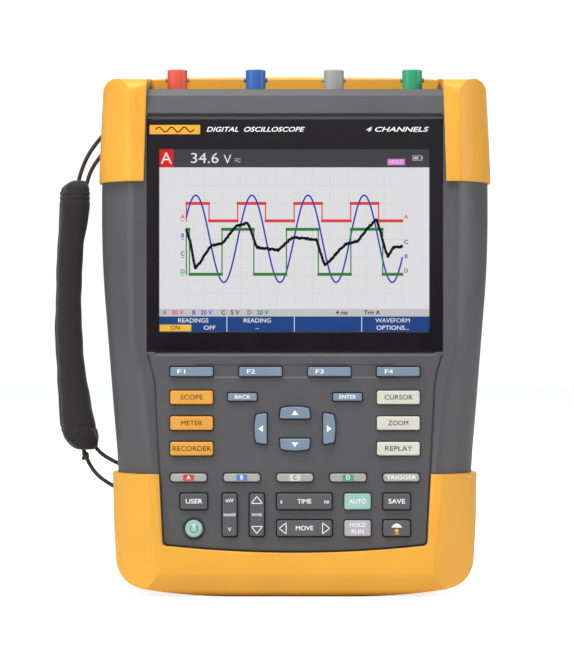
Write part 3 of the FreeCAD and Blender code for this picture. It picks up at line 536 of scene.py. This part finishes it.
def square_wave(period, first_rise, high_for, top, bottom):
    """Corners of a square wave over the grid, in divisions."""
    points = []
    rise = first_rise
    while rise < COLUMNS:
        for column, row in ((rise, bottom), (rise, top), (rise + high_for, top), (rise + high_for, bottom)):
            points.append((min(max(column, 0), COLUMNS), row))
        rise += period
    if points[-1][0] < COLUMNS:
        points.append((COLUMNS, points[-1][1]))
    return points


def sine_wave(period, peak, middle, size, steps=240):
    return [(i * COLUMNS / steps,
             middle - size * math.cos(2 * math.pi * (i * COLUMNS / steps - peak) / period))
            for i in range(steps + 1)]


def rough_wave(turns, jitter, seed, step=0.05):
    """A noisy line that eases from one turning point to the next, in divisions."""
    dice = random.Random(seed)
    points = []
    for (ca, ra), (cb, rb) in zip(turns, turns[1:]):
        count = max(2, round((cb - ca) / step))
        for i in range(count):
            t = i / count
            ease = t + 0.35 * (t * t * (3 - 2 * t) - t)
            points.append((ca + (cb - ca) * t, ra + (rb - ra) * ease + dice.uniform(-jitter, jitter)))
    return points + [turns[-1]]


# Turning points of the noisy trace: column and row, in divisions
NOISY_TURNS = [(0, 3.5), (0.2, 4.1), (0.5, 5.6), (1.4, 4.35), (2.0, 4.2), (2.8, 3.25), (3.4, 3.1),
               (3.95, 4.45), (5.1, 4.6), (5.9, 3.9), (7.2, 4.0), (7.7, 5.4), (8.9, 4.25), (9.5, 4.1),
               (10.2, 3.25), (10.55, 2.9), (11.2, 4.95), (11.5, 4.45), (12, 4.4)]
# Each trace: its points, line width in millimetres, and how much of it the upright runs keep
TRACES = {
    "trace_a": (square_wave(3.14, -0.29, 1.55, 2.0, 2.97), 1.45, 0.4),
    "trace_b": (sine_wave(3.12, 0.52, 3.97, 2.42), 0.8, 1.0),
    "trace_d": (square_wave(3.58, -1.6, 1.77, 3.44, 5.94), 1.45, 0.4),
    "trace_c": (rough_wave(NOISY_TURNS, 0.035, 4), 1.3, 1.0),
}


def make_screen_picture():
    names = ["paper", "header", "status", "blue", "amber", "red", "pink", "white", "dots"]
    mats = [lit[n] for n in names]
    index = {n: i for i, n in enumerate(names)}
    bm = bmesh.new()
    bar_top = SCREEN_TALL - SOFTKEYS
    status_top = bar_top - STATUS
    screen_block(bm, 0, SCREEN_WIDE, 0, HEADER, 0, index["header"])
    screen_block(bm, 0, SCREEN_WIDE, HEADER, status_top, 0, index["paper"])
    screen_block(bm, 0, SCREEN_WIDE, status_top, bar_top, 0, index["status"])
    screen_block(bm, 0, SCREEN_WIDE, bar_top, SCREEN_TALL, 0, index["blue"])
    for i in range(1, 4):
        u = SCREEN_WIDE * i / 4
        screen_block(bm, u - 0.15 * MM, u + 0.15 * MM, bar_top, SCREEN_TALL, 1, index["white"])
    screen_block(bm, 0.1 * MM, 15.2 * MM, SCREEN_TALL - 3.4 * MM, SCREEN_TALL - 0.2 * MM, 1, index["amber"])
    screen_block(bm, 0, 6.6 * MM, 0.1 * MM, HEADER, 1, index["red"])
    screen_block(bm, 109.2 * MM, 117.6 * MM, 4.6 * MM, 7.6 * MM, 1, index["pink"])
    add_mesh("screen_picture", bm, mats)

    bm = bmesh.new()
    dot = 0.14 * MM
    for column in range(COLUMNS + 1):
        for tick in range(ROWS * 5 + 1):
            x, z = grid_point(column, tick / 5)
            if z > screen_z(status_top):
                slab(bm, x - dot, x + dot, z - dot * 1.6, z + dot * 1.6, SCREEN_FACE - LAYER, SCREEN_FACE)
    for row in range(ROWS):
        for tick in range(COLUMNS * 5 + 1):
            x, z = grid_point(tick / 5, row)
            slab(bm, x - dot * 1.6, x + dot * 1.6, z - dot, z + dot, SCREEN_FACE - LAYER, SCREEN_FACE)
    add_mesh("screen_grid", bm, lit["dots"])


def make_traces():
    for layer, (name, (points, width, upright)) in enumerate(TRACES.items()):
        bm = bmesh.new()
        y = SCREEN_FACE - (1 + layer) * LAYER
        places = [grid_point(*p) for p in points]
        for a, b in zip(places, places[1:]):
            steep = abs(b[0] - a[0]) < 1e-7
            ribbon(bm, [a, b], width * MM * (upright if steep else 1.0), y - LAYER, y)
        add_mesh("screen_" + name, bm, lit[name])


def make_screen_text():
    bar_top = SCREEN_TALL - SOFTKEYS
    quarter = SCREEN_WIDE / 4
    screen_text("tag_a", "A", 3.3 * MM, 4.5 * MM, 5.6 * MM, lit["white"], bold=0.0)
    screen_text("reading", "34.6", 21.6 * MM, 4.5 * MM, 5.0 * MM, lit["white"], width=13.2 * MM, bold=0.0)
    screen_text("unit", "V", 32.6 * MM, 5.0 * MM, 4.4 * MM, lit["white"], bold=0.0)
    screen_text("hold", "HOLD", 113.4 * MM, 6.1 * MM, 1.8 * MM, lit["white"], width=6.4 * MM)
    status = [("volts_a", "A   50 V", 1.5, "trace_a"), ("volts_b", "B   20 V", 15.6, "trace_b"),
              ("volts_c", "C   5 V", 29.6, "ink"), ("volts_d", "D   20 V", 42.0, "trace_d"),
              ("sweep", "4 ms", 84.5, "ink"), ("trigger", "Trig A", 98.0, "ink")]
    for name, text, u, ink in status:
        screen_text(name, text, u * MM, bar_top - 1.8 * MM, 2.1 * MM, lit[ink], "LEFT", bold=0.03)
    upper = bar_top + 2.0 * MM
    lower = SCREEN_TALL - 1.8 * MM
    for name, text, u, v, height, ink, width, bold in (
            ("soft_1", "READINGS", quarter * 0.5, upper, 2.1, "white", 14.5 * MM, 0.01),
            ("soft_1_on", "ON", 7.6 * MM, lower, 2.0, "ink", 4.4 * MM, 0.01),
            ("soft_1_off", "OFF", 24 * MM, lower, 2.0, "white", 5.6 * MM, 0.01),
            ("soft_2", "READING", quarter * 1.45, upper, 2.1, "white", 13 * MM, 0.01),
            ("soft_2_dots", "...", quarter * 1.45, SCREEN_TALL - 2.2 * MM, 2.0, "white", None, 0.01),
            ("soft_4", "WAVEFORM", quarter * 3.46, upper, 2.1, "white", 16.5 * MM, 0.0),
            ("soft_4_more", "OPTIONS...", quarter * 3.46, lower, 2.1, "white", 15.5 * MM, 0.01)):
        screen_text(name, text, u, v, height * MM, lit[ink], width=width, bold=bold)
    rows = {"A": (2.75, "trace_a", 2.75), "B": (3.8, "trace_b", 4.95), "C": (4.8, "ink", 4.15),
            "D": (5.8, "trace_d", 5.75)}
    left_u = GRID_LEFT - 1.8 * MM
    right_u = GRID_LEFT + COLUMNS * DIVISION + 1.8 * MM
    bm = bmesh.new()
    for order, (letter, (left_row, ink, right_row)) in enumerate(rows.items()):
        left_v = HEADER + left_row * DIVISION
        right_v = HEADER + right_row * DIVISION
        screen_text("mark_left_" + letter, letter, left_u, left_v, 2.0 * MM, lit[ink], bold=0.03)
        screen_text("mark_right_" + letter, letter, right_u, right_v, 1.9 * MM, lit[ink], bold=0.03)
        line_v = left_v + 1.6 * MM
        screen_block(bm, left_u - 0.8 * MM, left_u + 0.8 * MM, line_v, line_v + 0.25 * MM, 4, order)
    add_mesh("screen_mark_lines", bm, [lit[ink] for _, ink, _ in rows.values()])
    bm = bmesh.new()
    u, v = 121.4 * MM, 3.2 * MM
    y = SCREEN_FACE - 3 * LAYER
    corners = [(u, v), (u + 4.2 * MM, v), (u + 4.2 * MM, v + 2.0 * MM), (u, v + 2.0 * MM), (u, v)]
    ribbon(bm, [(screen_x(a), screen_z(b)) for a, b in corners], 0.3 * MM, y, y + LAYER)
    screen_block(bm, u + 0.5 * MM, u + 2.7 * MM, v + 0.5 * MM, v + 1.5 * MM, 3)
    screen_block(bm, u + 4.3 * MM, u + 4.8 * MM, v + 0.5 * MM, v + 1.5 * MM, 3)
    direct = [(u - 85.2 * MM, v + 1.4 * MM), (u - 82.6 * MM, v + 1.4 * MM)]
    ribbon(bm, [(screen_x(a), screen_z(b)) for a, b in direct], 0.3 * MM, y, y + LAYER)
    wave = [(u - (85.2 - 2.6 * i / 8) * MM, v + (2.5 - 0.5 * math.sin(math.pi * i / 4)) * MM)
            for i in range(9)]
    ribbon(bm, [(screen_x(a), screen_z(b)) for a, b in wave], 0.3 * MM, y, y + LAYER)
    add_mesh("screen_symbols", bm, lit["status"])


def framed_plate(name, outer, inner, y0, y1, material, edge):
    """Flat plate over one outline with a hole through it, its rims slightly rounded."""
    bm = bmesh.new()
    rings = [[bm.verts.new((x, y, z)) for x, z in outline] for y in (y0, y1) for outline in (outer, inner)]
    count = len(outer)
    for i in range(count):
        j = (i + 1) % count
        front_out, front_in, back_out, back_in = rings
        bm.faces.new((front_out[i], front_out[j], front_in[j], front_in[i]))
        bm.faces.new((back_out[j], back_out[i], back_in[i], back_in[j]))
        bm.faces.new((front_out[j], front_out[i], back_out[i], back_out[j]))
        bm.faces.new((front_in[i], front_in[j], back_in[j], back_in[i]))
    obj = add_mesh(name, bm, material, smooth=30)
    bevel = obj.modifiers.new("soft_rim", "BEVEL")
    bevel.width = edge
    bevel.segments = 3
    bevel.limit_method = "ANGLE"
    return obj


def make_lens():
    x0, y0, z0 = lens_low
    x1, y1, z1 = lens_high
    outer = rounded_outline(x0, x1, z0, z1, 1.6 * MM)
    hole = rounded_outline(SCREEN_LEFT, SCREEN_LEFT + SCREEN_WIDE, SCREEN_TOP - SCREEN_TALL, SCREEN_TOP,
                           0.6 * MM)
    border = framed_plate("lens_border", outer, hole, y0, y1, slot_materials["lens_glass"], 0.3 * MM)
    bm = bmesh.new()
    prism(bm, hole, y0 + 0.1 * MM, y0 + 0.9 * MM)
    pane = add_mesh("lens_pane", bm, clear_pane("lens_pane"))
    for piece in (border, pane):
        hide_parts("display_window")
    face = y0 - 0.01 * MM
    badge_left = x0 + 1.2 * MM
    badge_z = z1 - 5.0 * MM
    bm = bmesh.new()
    badge = rounded_outline(badge_left, badge_left + 24.2 * MM, badge_z - 2.2 * MM, badge_z + 2.2 * MM,
                            0.4 * MM)
    prism(bm, badge, face - INK, face)
    add_mesh("lens_badge", bm, ink_amber)
    bm = bmesh.new()
    wave = [(badge_left + (3 + 18.2 * i / 60) * MM, badge_z + 1.15 * MM * math.sin(2 * math.pi * 3 * i / 60))
            for i in range(61)]
    ribbon(bm, wave, 0.55 * MM, face - 1.6 * INK, face - INK * 0.9)
    add_mesh("lens_badge_wave", bm, ink_black)
    lettering("lens_name", "DIGITAL  OSCILLOSCOPE", badge_left + 27 * MM, badge_z, 2.3 * MM, face, ink_white,
              align="LEFT", shear=0.3, width=47 * MM)
    lettering("lens_channels", "4 CHANNELS", x1 - 37 * MM, badge_z, 2.3 * MM, face, ink_white, align="LEFT",
              shear=0.3, width=30 * MM)


# ---- key legends --------------------------------------------------------
def key_face(node):
    """Middle of a key's face and the face's y."""
    a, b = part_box(node)
    return (a[0] + b[0]) / 2, (a[2] + b[2]) / 2, a[1] - 0.01 * MM


def legend(node, text, height, ink, width=None, dx=0.0, dz=0.0, tag="", bold=0.02):
    x, z, y = key_face(node)
    width = width * MM if width else None
    lettering("legend_" + node + tag, text, x + dx * MM, z + dz * MM, height * MM, y, ink, node, width=width,
              bold=bold)


def icon(node, shapes, material, tag=""):
    """Flat print on a key from XZ outlines in millimetres about its middle."""
    x, z, y = key_face(node)
    bm = bmesh.new()
    for shape in shapes:
        prism(bm, [(x + a * MM, z + b * MM) for a, b in shape], y - INK, y)
    add_mesh("icon_" + node + tag, bm, material, node)


def line_icon(node, lines, width, material, tag=""):
    x, z, y = key_face(node)
    bm = bmesh.new()
    for points in lines:
        ribbon(bm, [(x + a * MM, z + b * MM) for a, b in points], width * MM, y - INK, y)
    add_mesh("icon_" + node + tag, bm, material, node)


def ring(radius, start, end, steps=28):
    return [(radius * math.cos(math.radians(start + (end - start) * i / steps)),
             radius * math.sin(math.radians(start + (end - start) * i / steps))) for i in range(steps + 1)]


def box_outline(width, height):
    return rounded_outline(-width / 2, width / 2, -height / 2, height / 2, 0.35, 3)


def make_legends():
    for i in range(1, 5):
        legend("key_f%d" % i, "F%d" % i, 2.0, ink_white, 3.9, dx=-4.6)
    for node, text, ink, width in (
            ("key_scope", "SCOPE", ink_brown, 10.6), ("key_meter", "METER", ink_brown, 10.2),
            ("key_recorder", "RECORDER", ink_brown, 18.4), ("key_cursor", "CURSOR", ink_black, 13.4),
            ("key_zoom", "ZOOM", ink_black, 9.6), ("key_replay", "REPLAY", ink_black, 13.0)):
        legend(node, text, 2.3, ink, width, bold=0.0)
    for node, text, height, ink, width in (
            ("key_back", "BACK", 1.8, ink_white, 7.4), ("key_enter", "ENTER", 1.8, ink_white, 8.0),
            ("key_trigger", "TRIGGER", 1.9, ink_white, 14.4), ("key_user", "USER", 2.2, ink_white, 8.0),
            ("key_save", "SAVE", 2.2, ink_white, 8.0), ("key_auto", "AUTO", 2.2, ink_white, 8.0),
            ("rocker_time", "TIME", 2.2, ink_white, 6.6), ("rocker_move", "MOVE", 2.2, ink_white, 8.4)):
        legend(node, text, height, ink, width)
    legend("key_hold", "HOLD", 2.0, ink_white, 7.6, dz=1.6)
    legend("key_hold", "RUN", 2.0, ink_white, 5.8, dz=-1.6, tag="_run")
    legend("rocker_range", "mV", 1.9, ink_white, 3.8, dz=6.9, tag="_low")
    legend("rocker_range", "RANGE", 1.3, ink_white, 5.6)
    legend("rocker_range", "V", 1.9, ink_white, dz=-7.0, tag="_high")
    legend("rocker_level", "MOVE", 1.3, ink_white, 4.8)
    legend("rocker_time", "s", 2.0, ink_white, dx=-11.0, tag="_slow")
    legend("rocker_time", "ns", 2.0, ink_white, dx=10.6, tag="_fast")
    for node, letter, box_ink, text_ink in (
            ("key_channel_a", "A", ink_red, ink_white), ("key_channel_b", "B", ink_blue, ink_white),
            ("key_channel_c", "C", ink_grey, ink_black), ("key_channel_d", "D", ink_green, ink_white)):
        icon(node, [box_outline(5.2, 3.1)], box_ink)
        x, z, y = key_face(node)
        lettering("legend_" + node, letter, x, z, 2.0 * MM, y - INK, text_ink, node)
    for node, turn in (("key_up", 0), ("key_left", 90), ("key_down", 180), ("key_right", 270)):
        icon(node, [triangle(0, 0, 3.4, 2.3, turn)], ink_white)
    for node, dx, dz, turns in (("rocker_level", 0, 7.2, (0, 180)), ("rocker_move", 10.4, 0, (270, 90))):
        lines = []
        for sign, turn in zip((1, -1), turns):
            corners = triangle(sign * dx, sign * dz, 5.2, 3.4, turn)
            lines.append(corners + corners[:1])
        line_icon(node, lines, 0.4, ink_white)
    line_icon("key_power", [ring(1.8, 120, 420), [(0, 0.5), (0, 2.4)]], 0.45, ink_white)
    line_icon("key_power", [ring(3.3, 0, 360)], 0.3, ink_mint, "_rim")
    icon("key_light", [[(-2.6, 0.4), (2.6, 0.4), (1.5, 1.8), (0, 2.5), (-1.5, 1.8)]], ink_white)
    icon("key_light", [[(0.95 * a, 0.95 * b - 1.1) for a, b in ring(1.0, 0, 330, 11)]], ink_amber, "_bulb")
    line_icon("key_light", [[(-1.0, -2.6), (1.0, -2.6)]], 0.4, ink_amber, "_rays")


# ---- battery ------------------------------------------------------------
def make_battery_label():
    """Pale label on the battery's rear face: a charge sign, lines of print and the two pole marks."""
    low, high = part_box("battery_pack")
    y = high[1]
    left, right = low[0] + 10 * MM, high[0] - 10 * MM
    foot, head = low[2] + 18 * MM, high[2] - 7 * MM
    bm = bmesh.new()
    prism(bm, rounded_outline(left, right, foot, head, 2 * MM), y - 0.2 * INK, y + INK)
    add_mesh("battery_label", bm, ink_grey, "battery")
    bm = bmesh.new()
    for row in range(4):
        z = foot + (4 + 2.6 * row) * MM
        ribbon(bm, [(left + 8 * MM, z), (right - (30 - 5 * row) * MM, z)], 0.8 * MM, y + INK, y + 2 * INK)
    marks = head - 7 * MM
    arm = 1.5 * MM
    minus, plus = left + 4 * MM, right - 6 * MM
    sign = rounded_outline(left + 8 * MM, left + 22 * MM, marks - 2 * arm, marks + 2 * arm, 0.8 * MM)
    for line in (sign + sign[:1], [(minus - arm, marks), (minus + arm, marks)],
                 [(plus - arm, marks), (plus + arm, marks)], [(plus, marks - arm), (plus, marks + arm)]):
        ribbon(bm, line, 0.7 * MM, y + INK, y + 2 * INK)
    slab(bm, left + 22.6 * MM, left + 24 * MM, marks - 1.4 * MM, marks + 1.4 * MM, y + INK, y + 2 * INK)
    add_mesh("battery_label_print", bm, ink_black, "battery")


# ---- strap --------------------------------------------------------------
STRAP_Y = 10 * MM
OUTER_ROUTE = [(-90.765, 10, 227.235), (-98.542, 10, 219.458), (-105.2, 10.4, 207), (-109, 10, 188),
               (-112.2, 9.5, 160), (-113, 9.5, 125), (-110.8, 10, 96), (-106, 10, 75), (-100.3, 10, 59.5),
               (-91.08, 10, 51.86), (-82.8, 10, 48.35)]
INNER_ROUTE = [(-90.765, 10, 218.435), (-98.542, 10, 210.658), (-103, 9.6, 198.5), (-105.6, 10, 180),
               (-108.2, 10.5, 152), (-108.6, 10.5, 120), (-106.2, 10, 95), (-102.3, 10, 78), (-97, 10, 68.3),
               (-88.12, 10, 62.865), (-80.3, 10, 59.55)]
CORD_DIAMETER = 2 * MM


def make_cord(name, route, node):
    data = bpy.data.curves.new(name, "CURVE")
    data.dimensions = "3D"
    data.bevel_depth = CORD_DIAMETER / 2
    data.bevel_resolution = 4
    data.resolution_u = 12
    data.use_fill_caps = True
    spline = data.splines.new("NURBS")
    spline.points.add(len(route) - 1)
    for point, place in zip(spline.points, route):
        point.co = (place[0] * MM, place[1] * MM, place[2] * MM, 1.0)
    spline.order_u = 3
    spline.use_endpoint_u = True
    data.materials.append(slot_materials["strap_cord"])
    obj = bpy.data.objects.new(name, data)
    scene.collection.objects.link(obj)
    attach(obj, "housing")
    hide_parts(node)


# Sleeve sections from the top: height, middle x, half width, all in millimetres
SLEEVE = [(201.4, -106.4, 2.6), (200.6, -106.6, 4.2), (198.6, -107.3, 6.2), (195.2, -107.9, 7.3),
          (184.0, -108.5, 7.2), (169.0, -110.3, 6.5), (147.0, -111.2, 6.3), (126.5, -111.2, 6.7),
          (110.0, -110.0, 7.0), (91.0, -107.8, 8.0), (82.0, -106.6, 8.8), (76.4, -105.2, 8.6),
          (71.6, -103.6, 6.9), (69.8, -103.0, 5.2), (69.2, -102.8, 3.4)]
SLEEVE_DEPTH = 0.66          # depth over width
SLEEVE_SQUARE = 0.86         # 1 is an ellipse; less is squarer
SLEEVE_SEAM = 205            # degrees round from the right
SLEEVE_RINGS = 190
SLEEVE_SIDES = 56
HEMS = (196.2, 193.9, 191.6, 80.0)   # heights of the sewn lines
KNOT = (-102.9, 10.0, 66.0)


def sleeve_section(z):
    """Middle x and half width of the sleeve at a height, smoothly between the sections."""
    rows = SLEEVE
    for i in range(len(rows) - 1):
        if rows[i][0] >= z >= rows[i + 1][0]:
            break
    t = (rows[i][0] - z) / (rows[i][0] - rows[i + 1][0])
    values = []
    for k in (1, 2):
        p = [rows[max(0, min(len(rows) - 1, i + d))][k] for d in (-1, 0, 1, 2)]
        spans = [rows[max(0, min(len(rows) - 1, i + d))][0] for d in (-1, 0, 1, 2)]
        length = spans[2] - spans[1]
        before = (p[2] - p[0]) / (spans[2] - spans[0]) * length
        after = (p[3] - p[1]) / (spans[3] - spans[1]) * length
        values.append((2 * t ** 3 - 3 * t ** 2 + 1) * p[1] + (t ** 3 - 2 * t ** 2 + t) * before
                      + (-2 * t ** 3 + 3 * t ** 2) * p[2] + (t ** 3 - t ** 2) * after)
    return values


def sleeve_point(z, angle, lift=0.0):
    """Place on the padded sleeve's cloth, in metres, with its seam, hems and soft wrinkles."""
    x, half = sleeve_section(z)
    end = min(1.0, (SLEEVE[0][0] - z) / 6, (z - SLEEVE[-1][0]) / 6)
    puff = 0.1 * math.sin(z * 0.21 + 2.2 * math.sin(angle)) + 0.08 * math.sin(z * 0.47 + 3 * angle)
    puff += 0.12 * math.sin(3 * angle + z * 0.05)
    bottom = math.exp(-((z - 74.5) / 5.0) ** 2)
    top = math.exp(-((z - 198.0) / 3.5) ** 2)
    puff += (bottom * 0.5 + top * 0.3) * math.sin(7 * angle + 0.5 * z)
    for hem in HEMS:
        puff -= 0.45 * math.exp(-((z - hem) / 0.6) ** 2)
    from_seam = (angle - math.radians(SLEEVE_SEAM) + math.pi) % (2 * math.pi) - math.pi
    seam = math.exp(-(from_seam / 0.09) ** 2)
    out = half + (puff - 0.6 * seam) * max(end, 0.0) + lift
    c, s = math.cos(angle), math.sin(angle)
    wide = math.copysign(abs(c) ** SLEEVE_SQUARE, c) * out
    deep = math.copysign(abs(s) ** SLEEVE_SQUARE, s) * (out * SLEEVE_DEPTH)
    return ((x + wide) * MM, STRAP_Y + deep * MM, z * MM)


def make_sleeve():
    bm = bmesh.new()
    top, bottom = SLEEVE[0][0], SLEEVE[-1][0]
    rings = []
    for i in range(SLEEVE_RINGS + 1):
        t = i / SLEEVE_RINGS
        t = t - 0.06 * math.sin(4 * math.pi * t) / 2
        z = top + (bottom - top) * t
        places = [sleeve_point(z, 2 * math.pi * j / SLEEVE_SIDES) for j in range(SLEEVE_SIDES)]
        rings.append([bm.verts.new(place) for place in places])
    for a, b in zip(rings, rings[1:]):
        for j in range(SLEEVE_SIDES):
            k = (j + 1) % SLEEVE_SIDES
            bm.faces.new((a[j], a[k], b[k], b[j]))
    bm.faces.new(rings[0])
    bm.faces.new(list(reversed(rings[-1])))
    sleeve = add_mesh("strap_sleeve_cloth", bm, slot_materials["strap_fabric"],
                      smooth=60)
    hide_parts("strap_sleeve")


def make_stitches():
    """Thread dashes in each hem's groove."""
    bm = bmesh.new()
    count = 22
    radius = 0.3 * MM
    step = 2 * math.pi / count
    for hem in HEMS:
        for j in range(count):
            start = Vector(sleeve_point(hem, j * step, -0.05))
            end = Vector(sleeve_point(hem, (j + 0.55) * step, -0.05))
            along = end - start
            turn = along.to_track_quat("Z", "Y").to_matrix().to_4x4()
            stretch = Matrix.Diagonal((1, 1, along.length / 2 / radius, 1))
            place = Matrix.Translation((start + end) / 2) @ turn @ stretch
            bmesh.ops.create_uvsphere(bm, u_segments=8, v_segments=6, radius=radius, matrix=place)
    add_mesh("strap_stitches", bm, thread, smooth=80)


def make_knot():
    """Small overhand knot on the outer cord just under the sleeve."""
    data = bpy.data.curves.new("strap_knot", "CURVE")
    data.dimensions = "3D"
    data.bevel_depth = 0.75 * MM
    data.bevel_resolution = 4
    data.resolution_u = 10
    spline = data.splines.new("NURBS")
    count = 22
    spline.points.add(count - 1)
    for i, point in enumerate(spline.points):
        a = 2 * math.pi * i / (count - 1)
        x = KNOT[0] + 1.125 * math.sin(2 * a)
        y = KNOT[1] + 1.395 * math.cos(3 * a)
        z = KNOT[2] + 1.5 * math.sin(3 * a + 0.6)
        point.co = (x * MM, y * MM, z * MM, 1.0)
    spline.order_u = 4
    spline.use_cyclic_u = True
    data.materials.append(slot_materials["strap_cord"])
    knot = bpy.data.objects.new("strap_knot", data)
    scene.collection.objects.link(knot)
    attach(knot, "housing")
    return knot


def make_strap():
    knot = make_knot()
    make_cord("strap_cord_outer_line", OUTER_ROUTE, "strap_cord_outer")
    make_cord("strap_cord_inner_line", INNER_ROUTE, "strap_cord_inner")
    make_sleeve()
    make_stitches()


make_camera()
make_studio()
make_floor()
dress_cad_nodes()
make_lens()
make_screen_picture()
make_traces()
make_screen_text()
make_legends()
make_battery_label()
make_strap()
